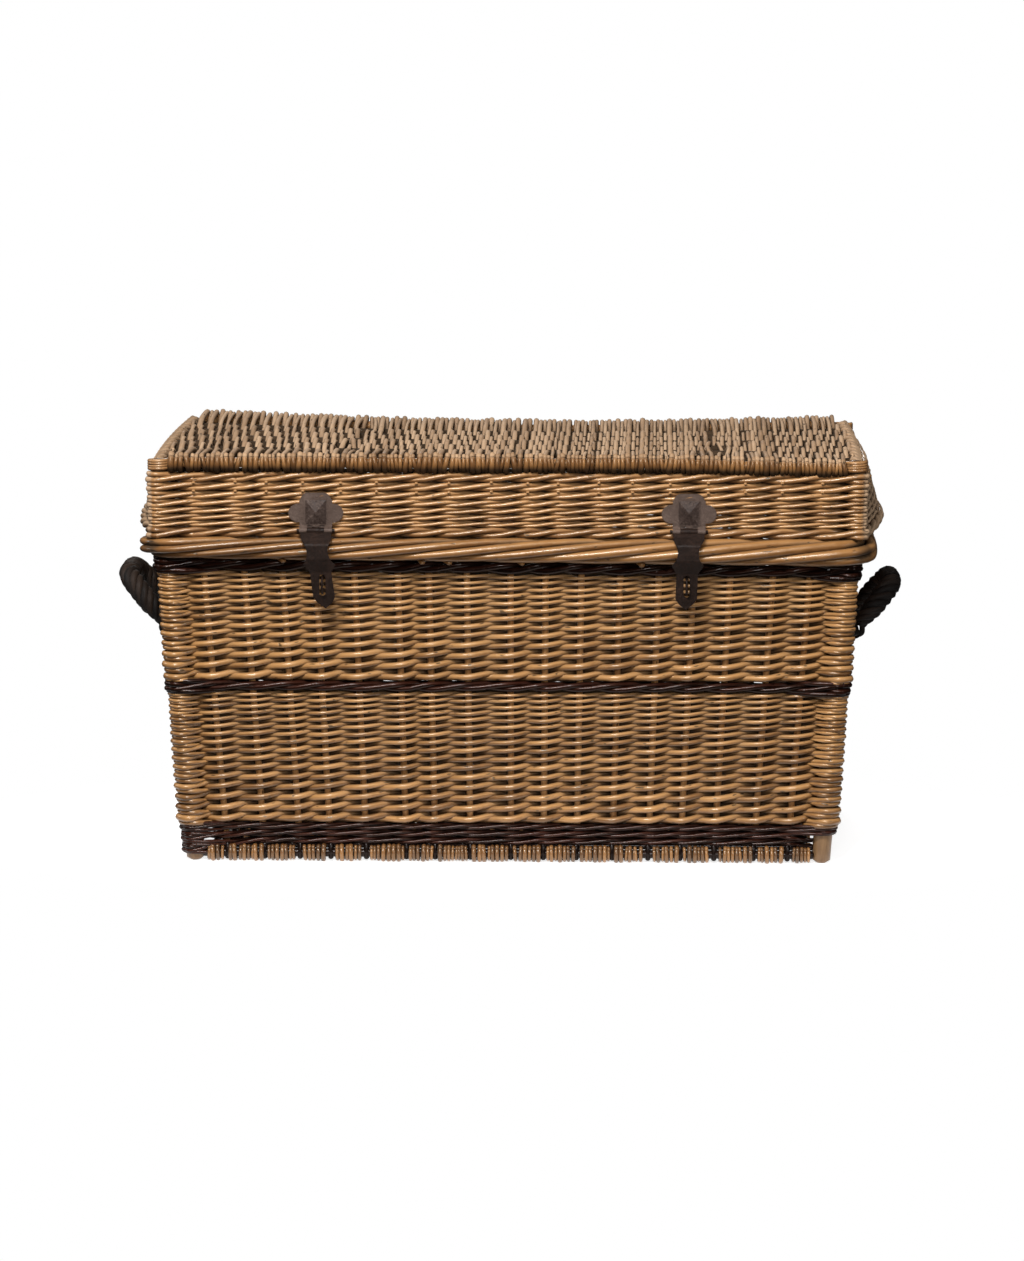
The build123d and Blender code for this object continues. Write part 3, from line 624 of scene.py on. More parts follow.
def wale(rods, ring, z_middle, radius, random, shifts=None, fade=None, bare=None):
    """One row of three-rod waling: each rod runs outside two stakes and inside the next,
    climbing as it passes outside. Rods end and begin where they're hidden inside. A row
    that leaves one post bare stops on both sides of it, with loose thin ends before it."""
    for strand in range(3):
        step, last = strand, strand + ring.count
        if bare is not None:
            step, last = bare + 2, bare + ring.count - 1
        while step < last:
            end = min(step + 3 * int(random.integers(4, 7)), last)
            tone, scale = random.beta(2, 2), random.uniform(0.93, 1.07)
            path = []
            for k in range(step - 1, end + 1):
                phase = (k - strand) % 3
                height = WALE_HEIGHTS[phase] * radius
                z = z_middle + height + random.normal(0, 0.12) * radius
                if shifts:
                    z += corner_shift(ring.point(k, z_middle), shifts)
                size = radius * scale * (1 if phase < 2 else 1.15)
                rows = ring.passing(k, z, size, phase < 2)
                if fade:
                    rows = [[*row, fade(row)] for row in rows]
                path += rows
            if bare is not None and end == last:
                loose = z - radius * (0.4 + 0.9 * strand)
                gap, post = np.array(ring.between(end, loose)), np.array(ring.point(end + 1, loose))
                path += [[*gap, 0.8 * radius], [*(0.35 * gap + 0.65 * post), 0.45 * radius]]
            rods.add(path, tone=tone, bumps=0.015)
            step = end


def corner_shift(point, shifts):
    """Upward shift of a row of the bottom band, from its shifts at the front left and
    front right corner posts."""
    total = 0
    for side, shift in zip((-1, 1), shifts):
        away = np.linalg.norm(point[:2] - np.array([side * FOOT_X, -FOOT_Y]))
        total += shift * np.exp(-((away / CORNER_REACH) ** 2))
    return total


def dark_bands():
    """Bottom, middle and top bands of dark rods. Each row has its shifts at the front
    left and front right corners, and whether it leaves the front right post bare."""
    random = np.random.default_rng(31)
    straight = ((0, 0), False)
    for name, rows in (
        ("bottom_wale", (((-9 * MM, 0), True), ((-4.5 * MM, 0), True), ((0, -1 * MM), False))),
        ("middle_wale", (straight,)),
        ("top_wale", (straight,)),
    ):
        low, high = span_z(name)
        height = (high - low) / len(rows)
        rods = Rods(name + "_rods", 32)
        for row, (shifts, leaves_bare) in enumerate(rows):
            middle = low + (row + 0.5) * height
            bare = body_ring.corners[1] if leaves_bare else None
            wale(rods, body_ring, middle, 0.27 * height, random, shifts, bare=bare)
            for corner in body_ring.corners:
                if corner == bare:
                    continue
                shift = corner_shift(body_ring.point(corner, middle), shifts)
                wraps = middle + shift + np.array([-0.5, 0.5]) * height
                corner_wraps(rods, corner, wraps, [0.25 * height] * 2, random, 40, 58)
        shape = rise_with_border if name == "top_wale" else above_floor
        rods.make(dark_willow, "body", "willow_dark", name, proud=body_proud, shape=shape)


def posts_and_stakes():
    """Corner posts and stakes of the body and the lid, as slightly crooked rods."""
    random = np.random.default_rng(41)
    names = ("front_left", "front_right", "back_right", "back_left")
    for name, place in zip(names, body_ring.corners):
        rods = Rods("post_" + name, 42 + place)
        path = [
            [*body_ring.point(place, z), POST_RADIUS * random.uniform(0.96, 1)]
            for z in np.linspace(4.5 * MM, POST_TOP - 4 * MM, 9)
        ]
        rods.add(path, up=(0, 1, 0), sides=16, tone=0.45)
        rods.make(post_willow, "body", "willow_posts", f"corner_post_{name}", proud=body_proud)
    for name, place in zip(names, lid_ring.corners):
        rods = Rods("lid_post_rod_" + name, 52 + place)
        top = LID_POST_TOP - (3 if "front" in name else 8) * MM
        heights = np.linspace(LID_BOTTOM + 4 * MM, top - 4 * MM, 5)
        path = [[*lid_ring.point(place, z), LID_POST_RADIUS * 0.98, 0.3] for z in heights]
        rods.add(path, up=(0, 1, 0), sides=16, tone=0.5)
        lid_post_wraps(rods, place, top, random)
        rods.make(lid_willow, "lid", "willow_posts", f"lid_post_{name}", proud=lid_proud)
    for ring, proud, body, prefix in (
        (body_ring, body_proud, "body", ""),
        (lid_ring, lid_proud, "lid", "lid_"),
    ):
        heights = np.linspace(*span_z(prefix + "front_stakes"), 8)
        for wall, side in enumerate(SIDES):
            rods = Rods(f"{prefix}{side}_stake_rods", 62 + wall)
            for place in range(ring.count):
                if ring.wall[place] == wall and not ring.posts[place]:
                    path = [
                        [*ring.point(place, z, random.normal(0, 0.3) * MM), STAKE_RADIUS]
                        for z in heights
                    ]
                    rods.add(path, up=(0, 1, 0), tone=random.uniform(0.2, 0.8))
            node = f"{prefix}{side}_stakes"
            rods.make(lit_stake_willow, body, "willow_stakes", node, proud=proud)


def lid_post_wraps(rods, place, top, random):
    """Rods coiled round a lid post between the wall and the top."""
    low, radius = span_z("lid_weave_front")[1], 2.4 * MM
    turns, turn_steps = 4, 10
    steps = turn_steps * turns
    reach = LID_POST_RADIUS + 0.9 * radius
    path = []
    for k in range(steps + 1):
        angle = tau * k / turn_steps
        z = low + radius + (top - low - 2 * radius) * k / steps
        x, y, _ = lid_ring.point(place, z)
        path.append([x + reach * cos(angle), y + reach * sin(angle), z, radius, 0.35])
    rods.add(path, steps=2, tone=random.uniform(0.3, 0.7))


def lid_walls():
    """Seven rows of waling round the lid, thicker towards the top, and its rim row."""
    low, high = span_z("lid_weave_front")
    row_count = 7
    edges = geometric_rows(low, high, row_count, 1.6)
    random = np.random.default_rng(71)

    def end_fade(row):
        """The end walls have lost their varnish."""
        return float(np.clip((abs(row[0]) - LID_X + 2 * MM) / (14 * MM), 0, 1))

    rods = Rods("lid_wall_rods", 72)
    for row in range(row_count):
        height = edges[row + 1] - edges[row]
        middle = (edges[row] + edges[row + 1]) / 2
        wale(rods, lid_ring, middle, 0.285 * height, random, fade=end_fade)
    for place in (place for place in range(lid_ring.count) if not lid_ring.posts[place]):
        for edge in edges[-3:-1]:
            z = edge + random.uniform(-1, 1) * MM
            tip = [[*lid_ring.point(place, z, out), 1.9 * MM] for out in (5 * MM, 10.5 * MM)]
            rods.add(tip, steps=1, tone=random.uniform(0.7, 1))
    nodes = [f"lid_weave_{side}" for side in SIDES]
    rods.make(lid_willow, "lid", "willow_weave", *nodes, proud=lid_proud)
    rods = Rods("lid_rim_rods", 73)
    wale(rods, lid_ring, (LID_BOTTOM + low) / 2 - 1.2 * MM, 3.4 * MM, random, fade=end_fade)
    rods.make(lid_willow, "lid", "willow_weave", "lid_rim", proud=lid_proud)


# ---- Border ---------------------------------------------------------------------------
class RoundedPath:
    """A level rounded rectangle, run from the left end of its front edge."""

    def __init__(self, half_x, half_y, corner):
        self.parts = []
        straight = ((half_x - corner) * 2, (half_y - corner) * 2)
        self.length = 2 * sum(straight) + tau * corner
        here = np.array([-(half_x - corner), -half_y])
        for i in range(4):
            along = np.array([cos(i * pi / 2), sin(i * pi / 2)])
            self.parts.append(("line", straight[i % 2], here, along))
            here = here + along * straight[i % 2]
            self.parts.append(("arc", corner * pi / 2, here, along))
            left = np.array([-along[1], along[0]])
            here = here + corner * (along + left)
        self.corner = corner

    def at(self, distance):
        """Point and outward direction at a distance along the path."""
        distance = distance % self.length
        for kind, length, start, along in self.parts:
            if distance <= length:
                break
            distance -= length
        left = np.array([-along[1], along[0]])
        if kind == "line":
            return start + along * distance, -left
        turn = distance / self.corner
        out = -left * cos(turn) + along * sin(turn)
        return start + left * self.corner + out * self.corner, out


def border():
    """The thick rolled border: six rods twisted like a rope round the mouth."""
    low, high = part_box("border")
    rod_radius, wide, tall, strands = 6.1 * MM, 15.2 * MM, 11.3 * MM, 6
    path = RoundedPath(high[0] - wide - rod_radius, high[1] - wide - rod_radius, 26 * MM)
    middle = (low[2] + high[2]) / 2
    turns, rows_per_turn = 5, 56  # whole turns, so that each rod meets its own start
    turn_length, count = path.length / turns, turns * rows_per_turn
    random = np.random.default_rng(81)
    rods = Rods("border_rods", 82)
    for strand in range(strands):
        start = strand * turn_length / strands
        k = 0
        while k < count:
            stop = min(k + rows_per_turn, count)
            if count - stop < rows_per_turn // 3:
                stop = count
            scale = random.uniform(0.9, 1.05)
            rows = []
            for step in range(k, stop + 1):
                travel = start + step / rows_per_turn * turn_length
                angle = tau * step / rows_per_turn + pi
                spot, out = path.at(travel)
                reach = wide * cos(angle)
                tip = min(step - k, stop - step) / 5
                radius = rod_radius * scale * min(1, 0.55 + 0.45 * tip)
                z = middle + tall * sin(angle)
                fade = 0.25 * max(0, sin(angle))
                rows.append([*(spot + out * reach), z, radius, fade])
            rods.add(rows, steps=1, sides=12, tone=random.beta(2, 2), bumps=0.008)
            k = stop
    cut_ends(rods, low[2], random)
    proud = border_proud(path, middle)
    rods.make(border_willow, "body", "willow_border", "border", proud=proud, shape=thin_border)


def cut_ends(rods, low, random):
    """Cut ends of rods that stick out under the border in front."""
    for x in (-100 * MM, -72 * MM, 10 * MM, 148 * MM, -260 * MM):
        y = -body_half(low)[1]
        radius = random.uniform(2.6, 3.6) * MM
        tilt = random.uniform(4, 9) * MM
        rows = [
            [x - tilt, y + 4 * MM, low + 8 * MM, radius],
            [x, y - 9 * MM, low + 3 * MM, radius],
            [x + tilt, y - 20 * MM, low - 1 * MM, radius],
        ]
        rods.add(rows, steps=3, tone=0.6)


def border_proud(path, middle):
    """How far points stand out of the border's core."""
    half_x = path.parts[0][1] / 2 + path.corner
    half_y = half_x - (FOOT_X - FOOT_Y)

    def measure(points):
        out = np.maximum(np.abs(points[:, 0]) - half_x, np.abs(points[:, 1]) - half_y)
        reach = np.hypot(out, points[:, 2] - middle)
        return ((reach - 12.5 * MM) / (6 * MM)).clip(-1, 1)

    return measure


# ---- Lid top and base -----------------------------------------------------------------
def edge_loop(y, z, reach, side):
    """(y, z) round an edge stick from under its inner side, round the outside, to its top."""
    angles = [radians(a) for a in (-62, -100, -145, 172, 128, 84)]
    return [(y - side * reach * cos(a), z + reach * sin(a)) for a in angles]


def stick_places(half):
    """Even places of the inner sticks across a half depth."""
    return [half * (2 * (i + 1) / (STICK_COUNT + 1) - 1) for i in range(STICK_COUNT)]


HOLES = ((-0.192, -0.115), (-0.18, 0.13), (0.238, -0.1), (0.232, 0.12))  # the lid top's worn places
HOLE_SIZE = (22 * MM, 30 * MM)
LID_SPACING = 0.9  # from a lid weaver's middle to its edge, in its radii
BASE_SPACING = 1.02


def part_round_holes(x, y):
    """How far a lid weaver bends aside to leave the worn places open."""
    shift = 0.0
    for hole_x, hole_y in HOLES:
        across, along = (x - hole_x) / HOLE_SIZE[0], (y - hole_y) / HOLE_SIZE[1]
        near = np.exp(-(across**2) - along**2)
        shift += 8.5 * MM * np.sign(x - hole_x) * near
    return shift


def lid_top():
    """Weavers from front to back over and under the sticks, wrapped round the edges."""
    low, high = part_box("lid_top_weave")
    edge_y, edge_z = high[1] - 11 * MM, high[2] - 11 * MM
    stick_z = sum(span_z("lid_sticks")) / 2
    sticks = stick_places(high[1] - 22 * MM)
    random = np.random.default_rng(91)
    thirds = {name: Rods(f"lid_top_rods_{name}", 92) for name in ("left", "middle", "right")}
    x, parity = -LID_X + 2 * MM, 0
    while x < LID_X - 2 * MM:
        radius = random.choice([2.1, 2.5, 2.9, 3.3, 3.6], p=[0.2, 0.25, 0.25, 0.2, 0.1]) * MM
        gap = random.uniform(0.8, 2.2) * MM if random.uniform() < 0.1 else 0
        x += radius * LID_SPACING + gap
        tone = random.beta(2, 2)
        reach = EDGE_STICK_RADIUS + 0.95 * radius
        wander = random.normal(0, 0.5) * MM
        rows = []
        tilt = random.normal(0, 0.9) * MM
        looped = abs(x) < LID_X - 11 * MM  # the outermost ones stop at the posts
        for y, z in edge_loop(-edge_y, edge_z, reach, -1) if looped else ():
            lean = tilt * (z - edge_z) / reach
            rows.append([x + lean, y, z, radius, 0.12 + 0.5 * (z > edge_z + 0.6 * reach)])
        for i, y in enumerate(sticks):
            over = 1 if (i + parity) % 2 else -1
            wander += random.normal(0, 0.28) * MM
            shift = wander + part_round_holes(x, y)
            z = stick_z + over * (STICK_RADIUS + 0.9 * radius)
            rows.append([x + shift, y + random.normal(0, 1.5) * MM, z, radius, 1.0])
        for y, z in reversed(edge_loop(edge_y, edge_z, reach, 1)) if looped else ():
            rows.append([x + wander * 0.5, y, z, radius, 0.85])
        thirds[third(x)].add(rows, up=(1, 0, 0), tone=tone, bumps=0.02)
        x += radius * LID_SPACING
        if random.uniform() < 0.95:
            parity += 1
    for name, rods in thirds.items():
        nodes = ("lid_top_weave",) if name == "middle" else ()
        rods.make(top_willow, "lid", "willow_lid_top", *nodes, proud=top_proud(stick_z), shape=sag)
    # Painted shade: the sticks get dark tones and are measured as if 12 mm deeper, so that they
    # darken fully between the weavers.
    rods = Rods("lid_stick_rods", 95)
    spread = np.linspace(-LID_X + 2 * MM, LID_X - 2 * MM, 12)
    for y in sticks:
        rods.add([[x, y, stick_z, STICK_RADIUS, 0.5] for x in spread], tone=random.uniform(0, 0.2))
    deep_in_shade = top_proud(stick_z + 12 * MM)
    rods.make(top_willow, "lid", "willow_stakes", "lid_sticks", proud=deep_in_shade, shape=sag)
    rods = Rods("lid_edge_stick_rods", 96)
    spread = np.linspace(-LID_X + 11 * MM, LID_X - 11 * MM, 12)
    for y in (-edge_y, edge_y):
        rods.add([[x, y, edge_z, EDGE_STICK_RADIUS, 0.3] for x in spread], tone=0.4)
    proud = top_proud(stick_z)
    rods.make(lit_stake_willow, "lid", "willow_stakes", "lid_edge_sticks", proud=proud, shape=sag)
    lid_ends(edge_y, edge_z, random)


def top_proud(middle):
    """How far points stand above the lid top's middle surface."""
    return lambda points: ((points[:, 2] - middle + 3 * MM) / (7 * MM)).clip(-1, 1)


def sag(points):
    """The lid top sinks a little: most at its back edge, right of the middle, and less at
    the front right."""
    u, v = points[:, 0] / LID_X, points[:, 1] / LID_Y
    back = 10.5 * MM * (1 - (u - 0.15) ** 2 / 1.1).clip(0, 1) * (0.5 + 0.5 * v).clip(0, 1)
    front = 4.5 * MM * ((u - 0.45) / 0.5).clip(0, 1) * (0.5 - 0.5 * v).clip(0, 1)
    above = ((points[:, 2] - SAG_START) / (8 * MM)).clip(0, 1)
    sunk = points.copy()
    sunk[:, 2] -= (back + front) * above
    return sunk


def lid_ends(edge_y, edge_z, random):
    """A twisted pair of rods along each end of the lid top, and one rod under it."""
    rods = Rods("lid_end_rods", 97)
    reach = edge_y - 4 * MM
    radius, pitch = 4 * MM, 62 * MM
    for side in (-1, 1):
        for phase in (0, pi):
            rows = []
            for y in np.linspace(-reach, reach, 90):
                angle = phase + tau * y / pitch
                bow = lid_bow(edge_z) * (1 - (y / edge_y) ** 2)
                x = LID_X + bow + radius * cos(angle)
                rows.append([side * x, y, edge_z - 1 * MM + radius * sin(angle), radius, 0.9])
            rods.add(rows, steps=1, tone=random.uniform(0.3, 0.8))
        rows = []
        for y in np.linspace(-reach, reach, 24):
            x = LID_X + 1.5 * MM + lid_bow(edge_z - 7 * MM) * (1 - (y / edge_y) ** 2)
            rows.append([side * x, y, edge_z - 8.5 * MM, 4.6 * MM, 0.9])
        rods.add(rows, tone=0.3)
    rods.make(top_willow, "lid", "willow_lid_top", proud=top_proud(edge_z - 9 * MM), shape=sag)


def base():
    """The base's weavers over its sticks, with groups of loops round both long edges."""
    low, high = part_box("base_weave")
    edge_y, edge_z = high[1] - 10 * MM, 10 * MM
    edge_stick = 5 * MM
    stick_z = sum(span_z("base_sticks")) / 2
    sticks = stick_places(high[1] - 27 * MM)
    random = np.random.default_rng(101)
    half_x = FOOT_X - POST_RADIUS + 1 * MM
    thirds = {name: Rods(f"base_rods_{name}", 102) for name in ("left", "middle", "right")}
    pegs = [body_ring.point(p, 0)[0] for p in range(1, FRONT_STAKES + 1)]
    x, parity = -half_x + 3 * MM, 0
    while x < half_x - 3 * MM:
        radius = random.choice([1.9, 2.3, 2.6, 2.9]) * MM
        reach = edge_stick + 0.95 * radius + random.normal(0, 0.15) * MM
        x += radius * BASE_SPACING
        looped = min(abs(x - peg) for peg in pegs) > 3.2 * MM
        tone = random.beta(2, 2)
        lean = random.normal(0, 0.8) * MM
        front = edge_loop(-edge_y, edge_z, reach, -1) if looped else []
        back = edge_loop(edge_y, edge_z, reach, 1)[::-1] if looped else []
        rows = [[x + lean * k / 5, y, z, radius, 0.1] for k, (y, z) in enumerate(front)]
        for i, y in enumerate(sticks):
            over = 1 if (i + parity) % 2 else -1
            z = stick_z + over * (STICK_RADIUS * 0.85 + radius * 0.6)
            rows.append([x + lean, y, max(z, radius * 1.1), radius, 0.4])
        rows += [[x, y, z, radius, 0.1] for y, z in back]
        thirds[third(x)].add(rows, up=(1, 0, 0), tone=tone)
        x += radius * BASE_SPACING
        parity += 1
    for name, rods in thirds.items():
        nodes = ("base_weave",) if name == "middle" else ()
        rods.make(edge_willow, "body", "willow_base", *nodes, proud=base_proud, shape=above_floor)
    rods = Rods("base_stick_rods", 105)
    spread = np.linspace(-half_x, half_x, 9)
    for y in sticks:
        rods.add([[x, y, stick_z, STICK_RADIUS * 0.9] for x in spread])
    rods.make(lit_stake_willow, "body", "willow_stakes", "base_sticks", proud=base_proud)
    rods = Rods("base_edge_stick_rods", 106)
    for side in (-1, 1):
        y = side * edge_y
        rods.add([[x, y, edge_z, edge_stick] for x in spread], tone=0.1)
        # A dark rod inside the edge stick, behind the loops: painted shade that keeps the gaps
        # between the loops dark.
        inner_y, inner_z = y - side * 4.5 * MM, edge_z + 8.5 * MM
        rods.add([[x, inner_y, inner_z, 4 * MM] for x in spread], tone=0)
        for peg in pegs:
            rows = [
                [peg, y + side * 1.0 * MM, 4 * MM, 3.0 * MM],
                [peg, y + side * 2.2 * MM, 11 * MM, 3.2 * MM],
                [peg, y - side * 0.5 * MM, 21 * MM, 3.2 * MM],
            ]
            rods.add(rows, up=(0, 1, 0), steps=3, tone=random.uniform(0, 0.5))
    rods.make(dark_willow, "body", "willow_stakes", "base_edge_sticks", shape=above_floor)


def base_proud(points):
    """How far points of the base stand out at its edges."""
    out = np.maximum(np.abs(points[:, 1]) - FOOT_Y, np.abs(points[:, 0]) - FOOT_X)
    return (out / (7 * MM)).clip(-0.4, 1)


def above_floor(points):
    """Points kept just above the floor."""
    lifted = points.copy()
    lifted[:, 2] = np.maximum(points[:, 2], 0.2 * MM)
    return lifted


# ---- Handles --------------------------------------------------------------------------
def rounded_route(corners, rounds=4):
    """A smooth open route past a few corner points, whose corners are cut off in rounds."""
    points = np.array(corners, float)
    for _ in range(rounds):
        first = points[:-1] * 0.75 + points[1:] * 0.25
        second = points[:-1] * 0.25 + points[1:] * 0.75
        mixed = np.stack([first, second], axis=1).reshape(-1, points.shape[1])
        points = np.vstack([points[:1], mixed, points[-1:]])
    return points


def resample(points, count):
    """Points spaced evenly along a route."""
    gaps = np.linalg.norm(np.diff(points, axis=0), axis=1)
    travel = np.concatenate([[0], np.cumsum(gaps)])
    even = np.linspace(0, travel[-1], count)
    return np.stack([np.interp(even, travel, points[:, i]) for i in range(points.shape[1])], axis=1)


def strands_round(
    rods, route, plane_normal, strand_count, coil, strand, twist, fade=0.0, taper=None
):
    """Strands twisted round a route that lies in a plane: `coil` is how far their middles
    stand off it, `strand` their radius and `twist` the length of one turn."""
    route = np.asarray(route)
    along = unit(np.gradient(route, axis=0))
    normal = np.broadcast_to(unit(np.array(plane_normal, float)), route.shape)
    across = np.cross(along, normal)
    gaps = np.linalg.norm(np.diff(route, axis=0), axis=1)
    travel = np.concatenate([[0], np.cumsum(gaps)])
    share = travel / travel[-1]
    scale = np.ones(len(route)) if taper is None else taper(share)
    for k in range(strand_count):
        angle = tau * (k / strand_count + travel / twist)
        reach = (coil * scale)[:, None]
        centre = route + reach * (np.cos(angle)[:, None] * across + np.sin(angle)[:, None] * normal)
        rows = np.column_stack([centre, strand * scale, np.full(len(route), fade)])
        rods.add(rows, up=plane_normal, steps=1, tone=rods.random.uniform(0, 1), bumps=0.03)


def handle(hand, out):
    """A handle of twisted dark willow rods, with eyes that turn on its bar."""
    low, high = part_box(f"handle_bar_{hand}")
    bar = 4 * MM
    pivot = np.array([(high[0] - bar) if out > 0 else (low[0] + bar), 0, (low[2] + high[2]) / 2])
    rise = radians(50)
    reach = np.array([out * cos(rise), 0, sin(rise)])
    normal = np.array([-sin(rise) * out, 0, cos(rise)])
    half, length, eye = 58 * MM, (65 if out > 0 else 75) * MM, 8.5 * MM

    def spot(far, y):
        """A point of the handle's plane, `far` from its pivot."""
        return pivot + reach * far + np.array([0, y, 0])

    leg = ((eye - 1 * MM, half), (length * 0.55, half - 2 * MM), (length, half - 14 * MM))
    corners = [spot(far, -y) for far, y in leg]
    corners += [spot(length * 1.02, 0), *(spot(far, y) for far, y in leg[::-1])]
    route = resample(rounded_route(corners), 130)
    rods = Rods(f"handle_rope_{hand}", 111 + out)

    def swell(share):
        """Full thickness in the middle, thinner at the eyes."""
        return 0.62 + 0.38 * np.clip(np.sin(pi * share) * 2.6, 0, 1)

    twist = -50 * MM
    strands_round(rods, route, normal, 5, 7.6 * MM, 4.9 * MM, twist, taper=swell)
    strands_round(rods, route, normal, 1, 0.01 * MM, 5 * MM, twist, taper=swell)  # the core
    for y in (-half, half):
        angles = np.linspace(0, tau, 41)
        ring = [pivot + np.array([cos(a) * eye, y, sin(a) * eye]) for a in angles]
        strands_round(rods, ring, (0, 1, 0), 3, 1.7 * MM, 1.9 * MM, 26 * MM)
    rods.make(rope_willow, f"handle_{hand}", "willow_rope", f"handle_{hand}")
    bars = Rods(f"handle_bar_rod_{hand}", 121 + out)
    wall_x = pivot[0] - out * 21 * MM
    corners = [(pivot[0], y * MM, pivot[2]) for y in (-94, -80, 0, 80, 94)]
    corners = [(wall_x, -100 * MM, pivot[2]), *corners, (wall_x, 100 * MM, pivot[2])]
    route = resample(rounded_route(corners), 50)
    rows = np.column_stack([route, np.full(len(route), bar)])
    bars.add(rows, steps=1, sides=12, tone=0.3, bumps=0.01)
    bars.make(rope_willow, "body", "willow_rope", f"handle_bar_{hand}")


# ---- Hinge ----------------------------------------------------------------------------
def hinge():
    """The rail along the lid's back rim, its lashings, and the rings it turns in."""
    low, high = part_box("hinge_rail")
    y, z = (low[1] + high[1]) / 2, (low[2] + high[2]) / 2
    rail_radius = (high[2] - low[2]) / 2
    random = np.random.default_rng(131)
    rods = Rods("hinge_rail_rod", 132)
    rail = [[x, y, z, rail_radius * 0.98, 0.3] for x in np.linspace(low[0], high[0], 14)]
    rods.add(rail, sides=14, tone=0.4)
    rings = (-250 * MM, 0, 250 * MM)
    rim_y = LID_Y + 8 * MM
    middle, wide, tall = (y + rim_y) / 2, (y - rim_y) / 2 + 7 * MM, 7.4 * MM
    lash_radius = 1.5 * MM
    for x in np.arange(-355, 356, 24) * MM:
        if min(abs(x - ring) for ring in rings) < 15 * MM:
            continue
        for turn in (-1, 0, 1):
            rows = []
            for angle in np.linspace(0, tau, 21):
                at = x + turn * 4.2 * MM + 1.2 * MM * angle / tau
                lash_y, lash_z = middle + wide * cos(angle), z - 0.6 * MM + tall * sin(angle)
                rows.append([at, lash_y, lash_z, lash_radius, 0.3])
            rods.add(rows, up=(1, 0, 0), steps=2, sides=6, tone=random.uniform(0.2, 0.9))
    rods.make(lid_willow, "lid", "willow_stakes", "hinge_rail")
    low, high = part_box("hinge_rings")
    ring_reach, ring_radius = 8.8 * MM, 2.4 * MM
    tie_y = high[1] - ring_radius
    rods = Rods("hinge_ring_rods", 133)
    tie = ((1, 0, 0), 2, 1.15 * MM, 1.25 * MM, 18 * MM)  # a twisted pair in an upright plane
    for x in rings:
        angles = np.linspace(0, tau, 49)
        loop = [(x, y + ring_reach * cos(a), z + ring_reach * sin(a)) for a in angles]
        strands_round(rods, loop, *tie, fade=0.2)
        corners = [
            (x, y + ring_reach, z),
            (x, tie_y, z - 12 * MM),
            (x, tie_y, z - 48 * MM),
            (x, y - 4 * MM, z - 54 * MM),
        ]
        strands_round(rods, resample(rounded_route(corners), 50), *tie, fade=0.2)
    rods.make(border_willow, "body", "willow_border", "hinge_rings")


# ---- Camera, light and floor ----------------------------------------------------------
def camera():
    """A long lens from the front, a little above and to the right."""
    data = bpy.data.cameras.new("camera")
    data.sensor_width = 36
    data.lens = 142.8
    data.clip_end = 60
    made = bpy.data.objects.new("camera", data)
    made.location = (0.17, -5.84, 1.11)
    made.rotation_euler = Euler((radians(90 - 8.478), 0, radians(1.676)), "XYZ")
    bpy.context.collection.objects.link(made)
    bpy.context.scene.camera = made


def softbox(name, place, aim, size, power):
    """A soft rectangular light at a place, aimed at a point."""
    data = bpy.data.lights.new(name, "AREA")
    data.shape, data.size, data.size_y = "RECTANGLE", size[0], size[1]
    data.energy = power
    made = bpy.data.objects.new(name, data)
    made.location = place
    made.rotation_euler = (Vector(aim) - Vector(place)).to_track_quat("-Z", "Y").to_euler()
    bpy.context.collection.objects.link(made)


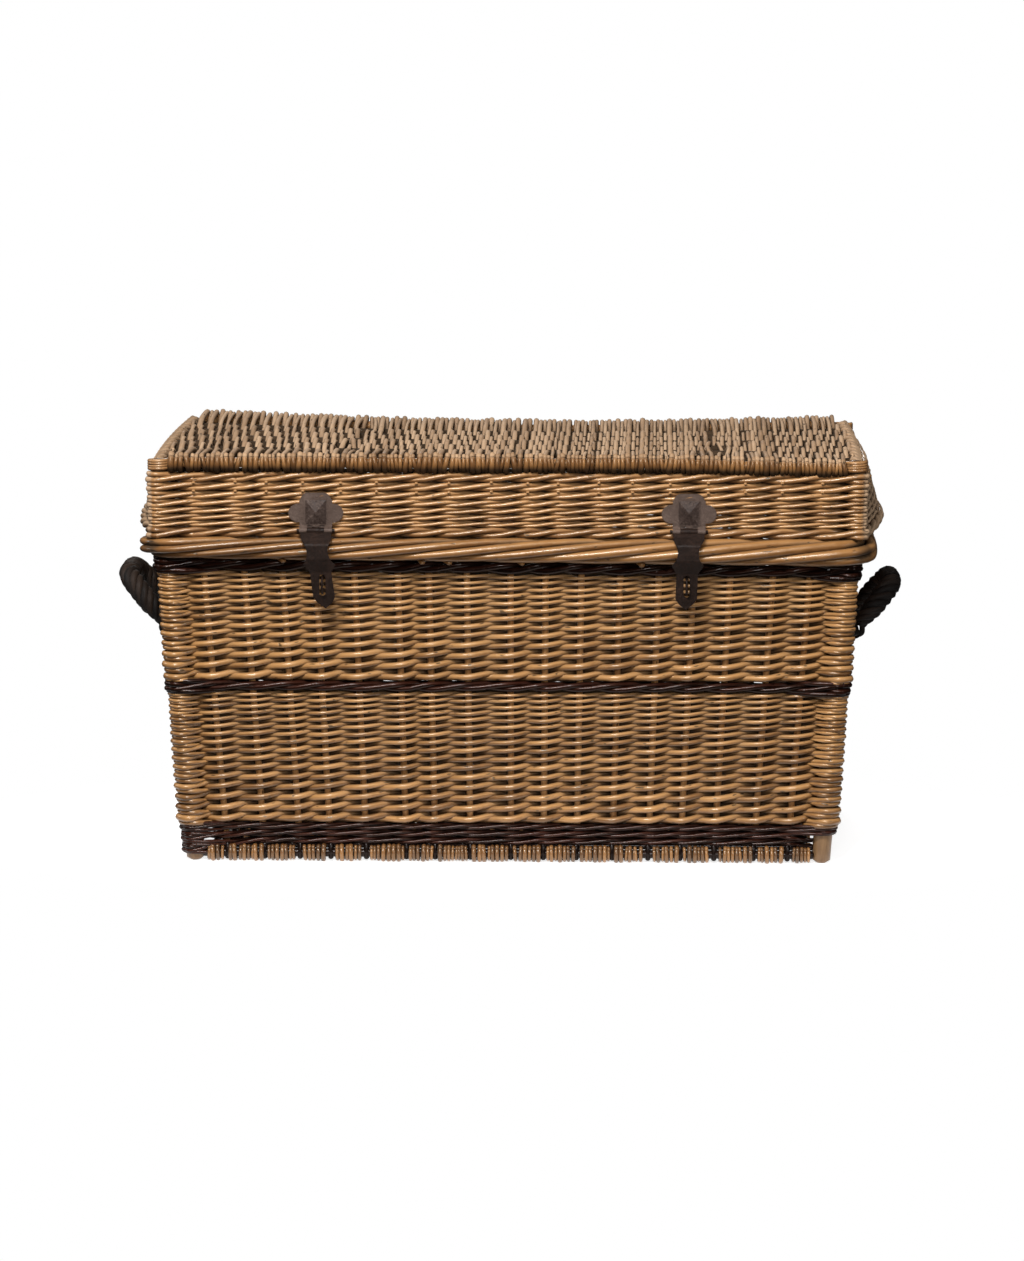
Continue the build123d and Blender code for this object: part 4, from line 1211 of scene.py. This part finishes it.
def studio():
    """A pale floor that melts into a white world, and soft lights above and in front."""
    shader = Shader("floor_paper", Roughness=0.9, Specular_IOR_Level=0.1, Emission_Strength=0.8)
    shader.surface.inputs["Emission Color"].default_value = (1, 1, 1, 1)
    place = shader.node("NewGeometry").outputs["Position"]
    grain = shader.noise(place, 3.0)
    colour = shader.ramp(grain, (0.0, (0.76, 0.76, 0.76)), (1.0, (0.8, 0.8, 0.8)))
    oval = shader.node("Mapping", {"Vector": place, "Scale": (1, 1.6, 1)}).outputs[0]
    distance = shader.node("VectorMath", {0: oval}, operation="LENGTH").outputs["Value"]
    clear = shader.band(distance, 0.48, 0.7)
    shader.tree.links.new(colour, shader.surface.inputs["Base Color"])
    gone = shader.node("BsdfTransparent").outputs[0]
    mix = shader.node("MixShader", {0: clear, 1: shader.surface.outputs[0], 2: gone})
    output = shader.tree.nodes["Material Output"]
    shader.tree.links.new(mix.outputs[0], output.inputs["Surface"])
    around = np.linspace(0, tau, 64, endpoint=False)
    mesh = bpy.data.meshes.new("floor")
    mesh.from_pydata([(3 * cos(a), 3 * sin(a), 0) for a in around], [], [range(64)])
    mesh.materials.append(shader.material)
    floor = bpy.data.objects.new("floor", mesh)
    bpy.context.collection.objects.link(floor)
    world = bpy.data.worlds.new("studio")
    world.use_nodes = True
    nodes, links = world.node_tree.nodes, world.node_tree.links
    path = nodes.new("ShaderNodeLightPath")
    dimmed = nodes.new("ShaderNodeMath")  # gloss reflects a dark room, so varnish stays deep
    dimmed.operation = "MULTIPLY_ADD"
    dimmed.inputs[1].default_value, dimmed.inputs[2].default_value = -0.22, 0.24
    links.new(path.outputs["Is Glossy Ray"], dimmed.inputs[0])
    seen = nodes.new("ShaderNodeMath")
    seen.operation = "MAXIMUM"
    links.new(path.outputs["Is Camera Ray"], seen.inputs[0])
    links.new(dimmed.outputs[0], seen.inputs[1])
    links.new(seen.outputs[0], nodes["Background"].inputs["Strength"])
    nodes["Background"].inputs["Color"].default_value = (1, 1, 1, 1)
    bpy.context.scene.world = world
    softbox("key", (-0.6, -2.5, 2.7), (0, 0, 0.25), (1.3, 0.6), 146)
    softbox("front", (0.3, -4.3, 1.8), (0, 0, 0.2), (0.6, 0.6), 40)
    softbox("right", (3.2, -2.2, 1.1), (0.4, 0, 0.25), (0.8, 0.8), 16)
    softbox("left", (-3.4, 0.6, 1.6), (-0.4, 0, 0.25), (0.8, 0.8), 16)
    softbox("back", (-0.5, 4.2, 2.4), (0, 0, 0.25), (1.3, 0.8), 28)


# ---- Make it all ----------------------------------------------------------------------
bpy.context.scene.view_settings.view_transform = "Standard"
camera()
studio()
randing("lower", 16, 201)
randing("upper", 13, 211)
dark_bands()
posts_and_stakes()
lid_walls()
border()
lid_top()
base()
handle("left", -1)
handle("right", 1)
hinge()
grey_iron = iron("grey_iron", (34, 25, 21), (62, 49, 43), (98, 83, 75))
brown_iron = iron("brown_iron", (14, 7, 4), (28, 16, 10), (48, 31, 22), wear=0.02)
for hand in ("left", "right"):
    for kind in ("hasp_plate", "hasp_stud", "backing_plate"):
        paint(f"{kind}_{hand}", grey_iron)
    for kind in ("hasp_pin", "hasp_strap", "staple"):
        paint(f"{kind}_{hand}", brown_iron)
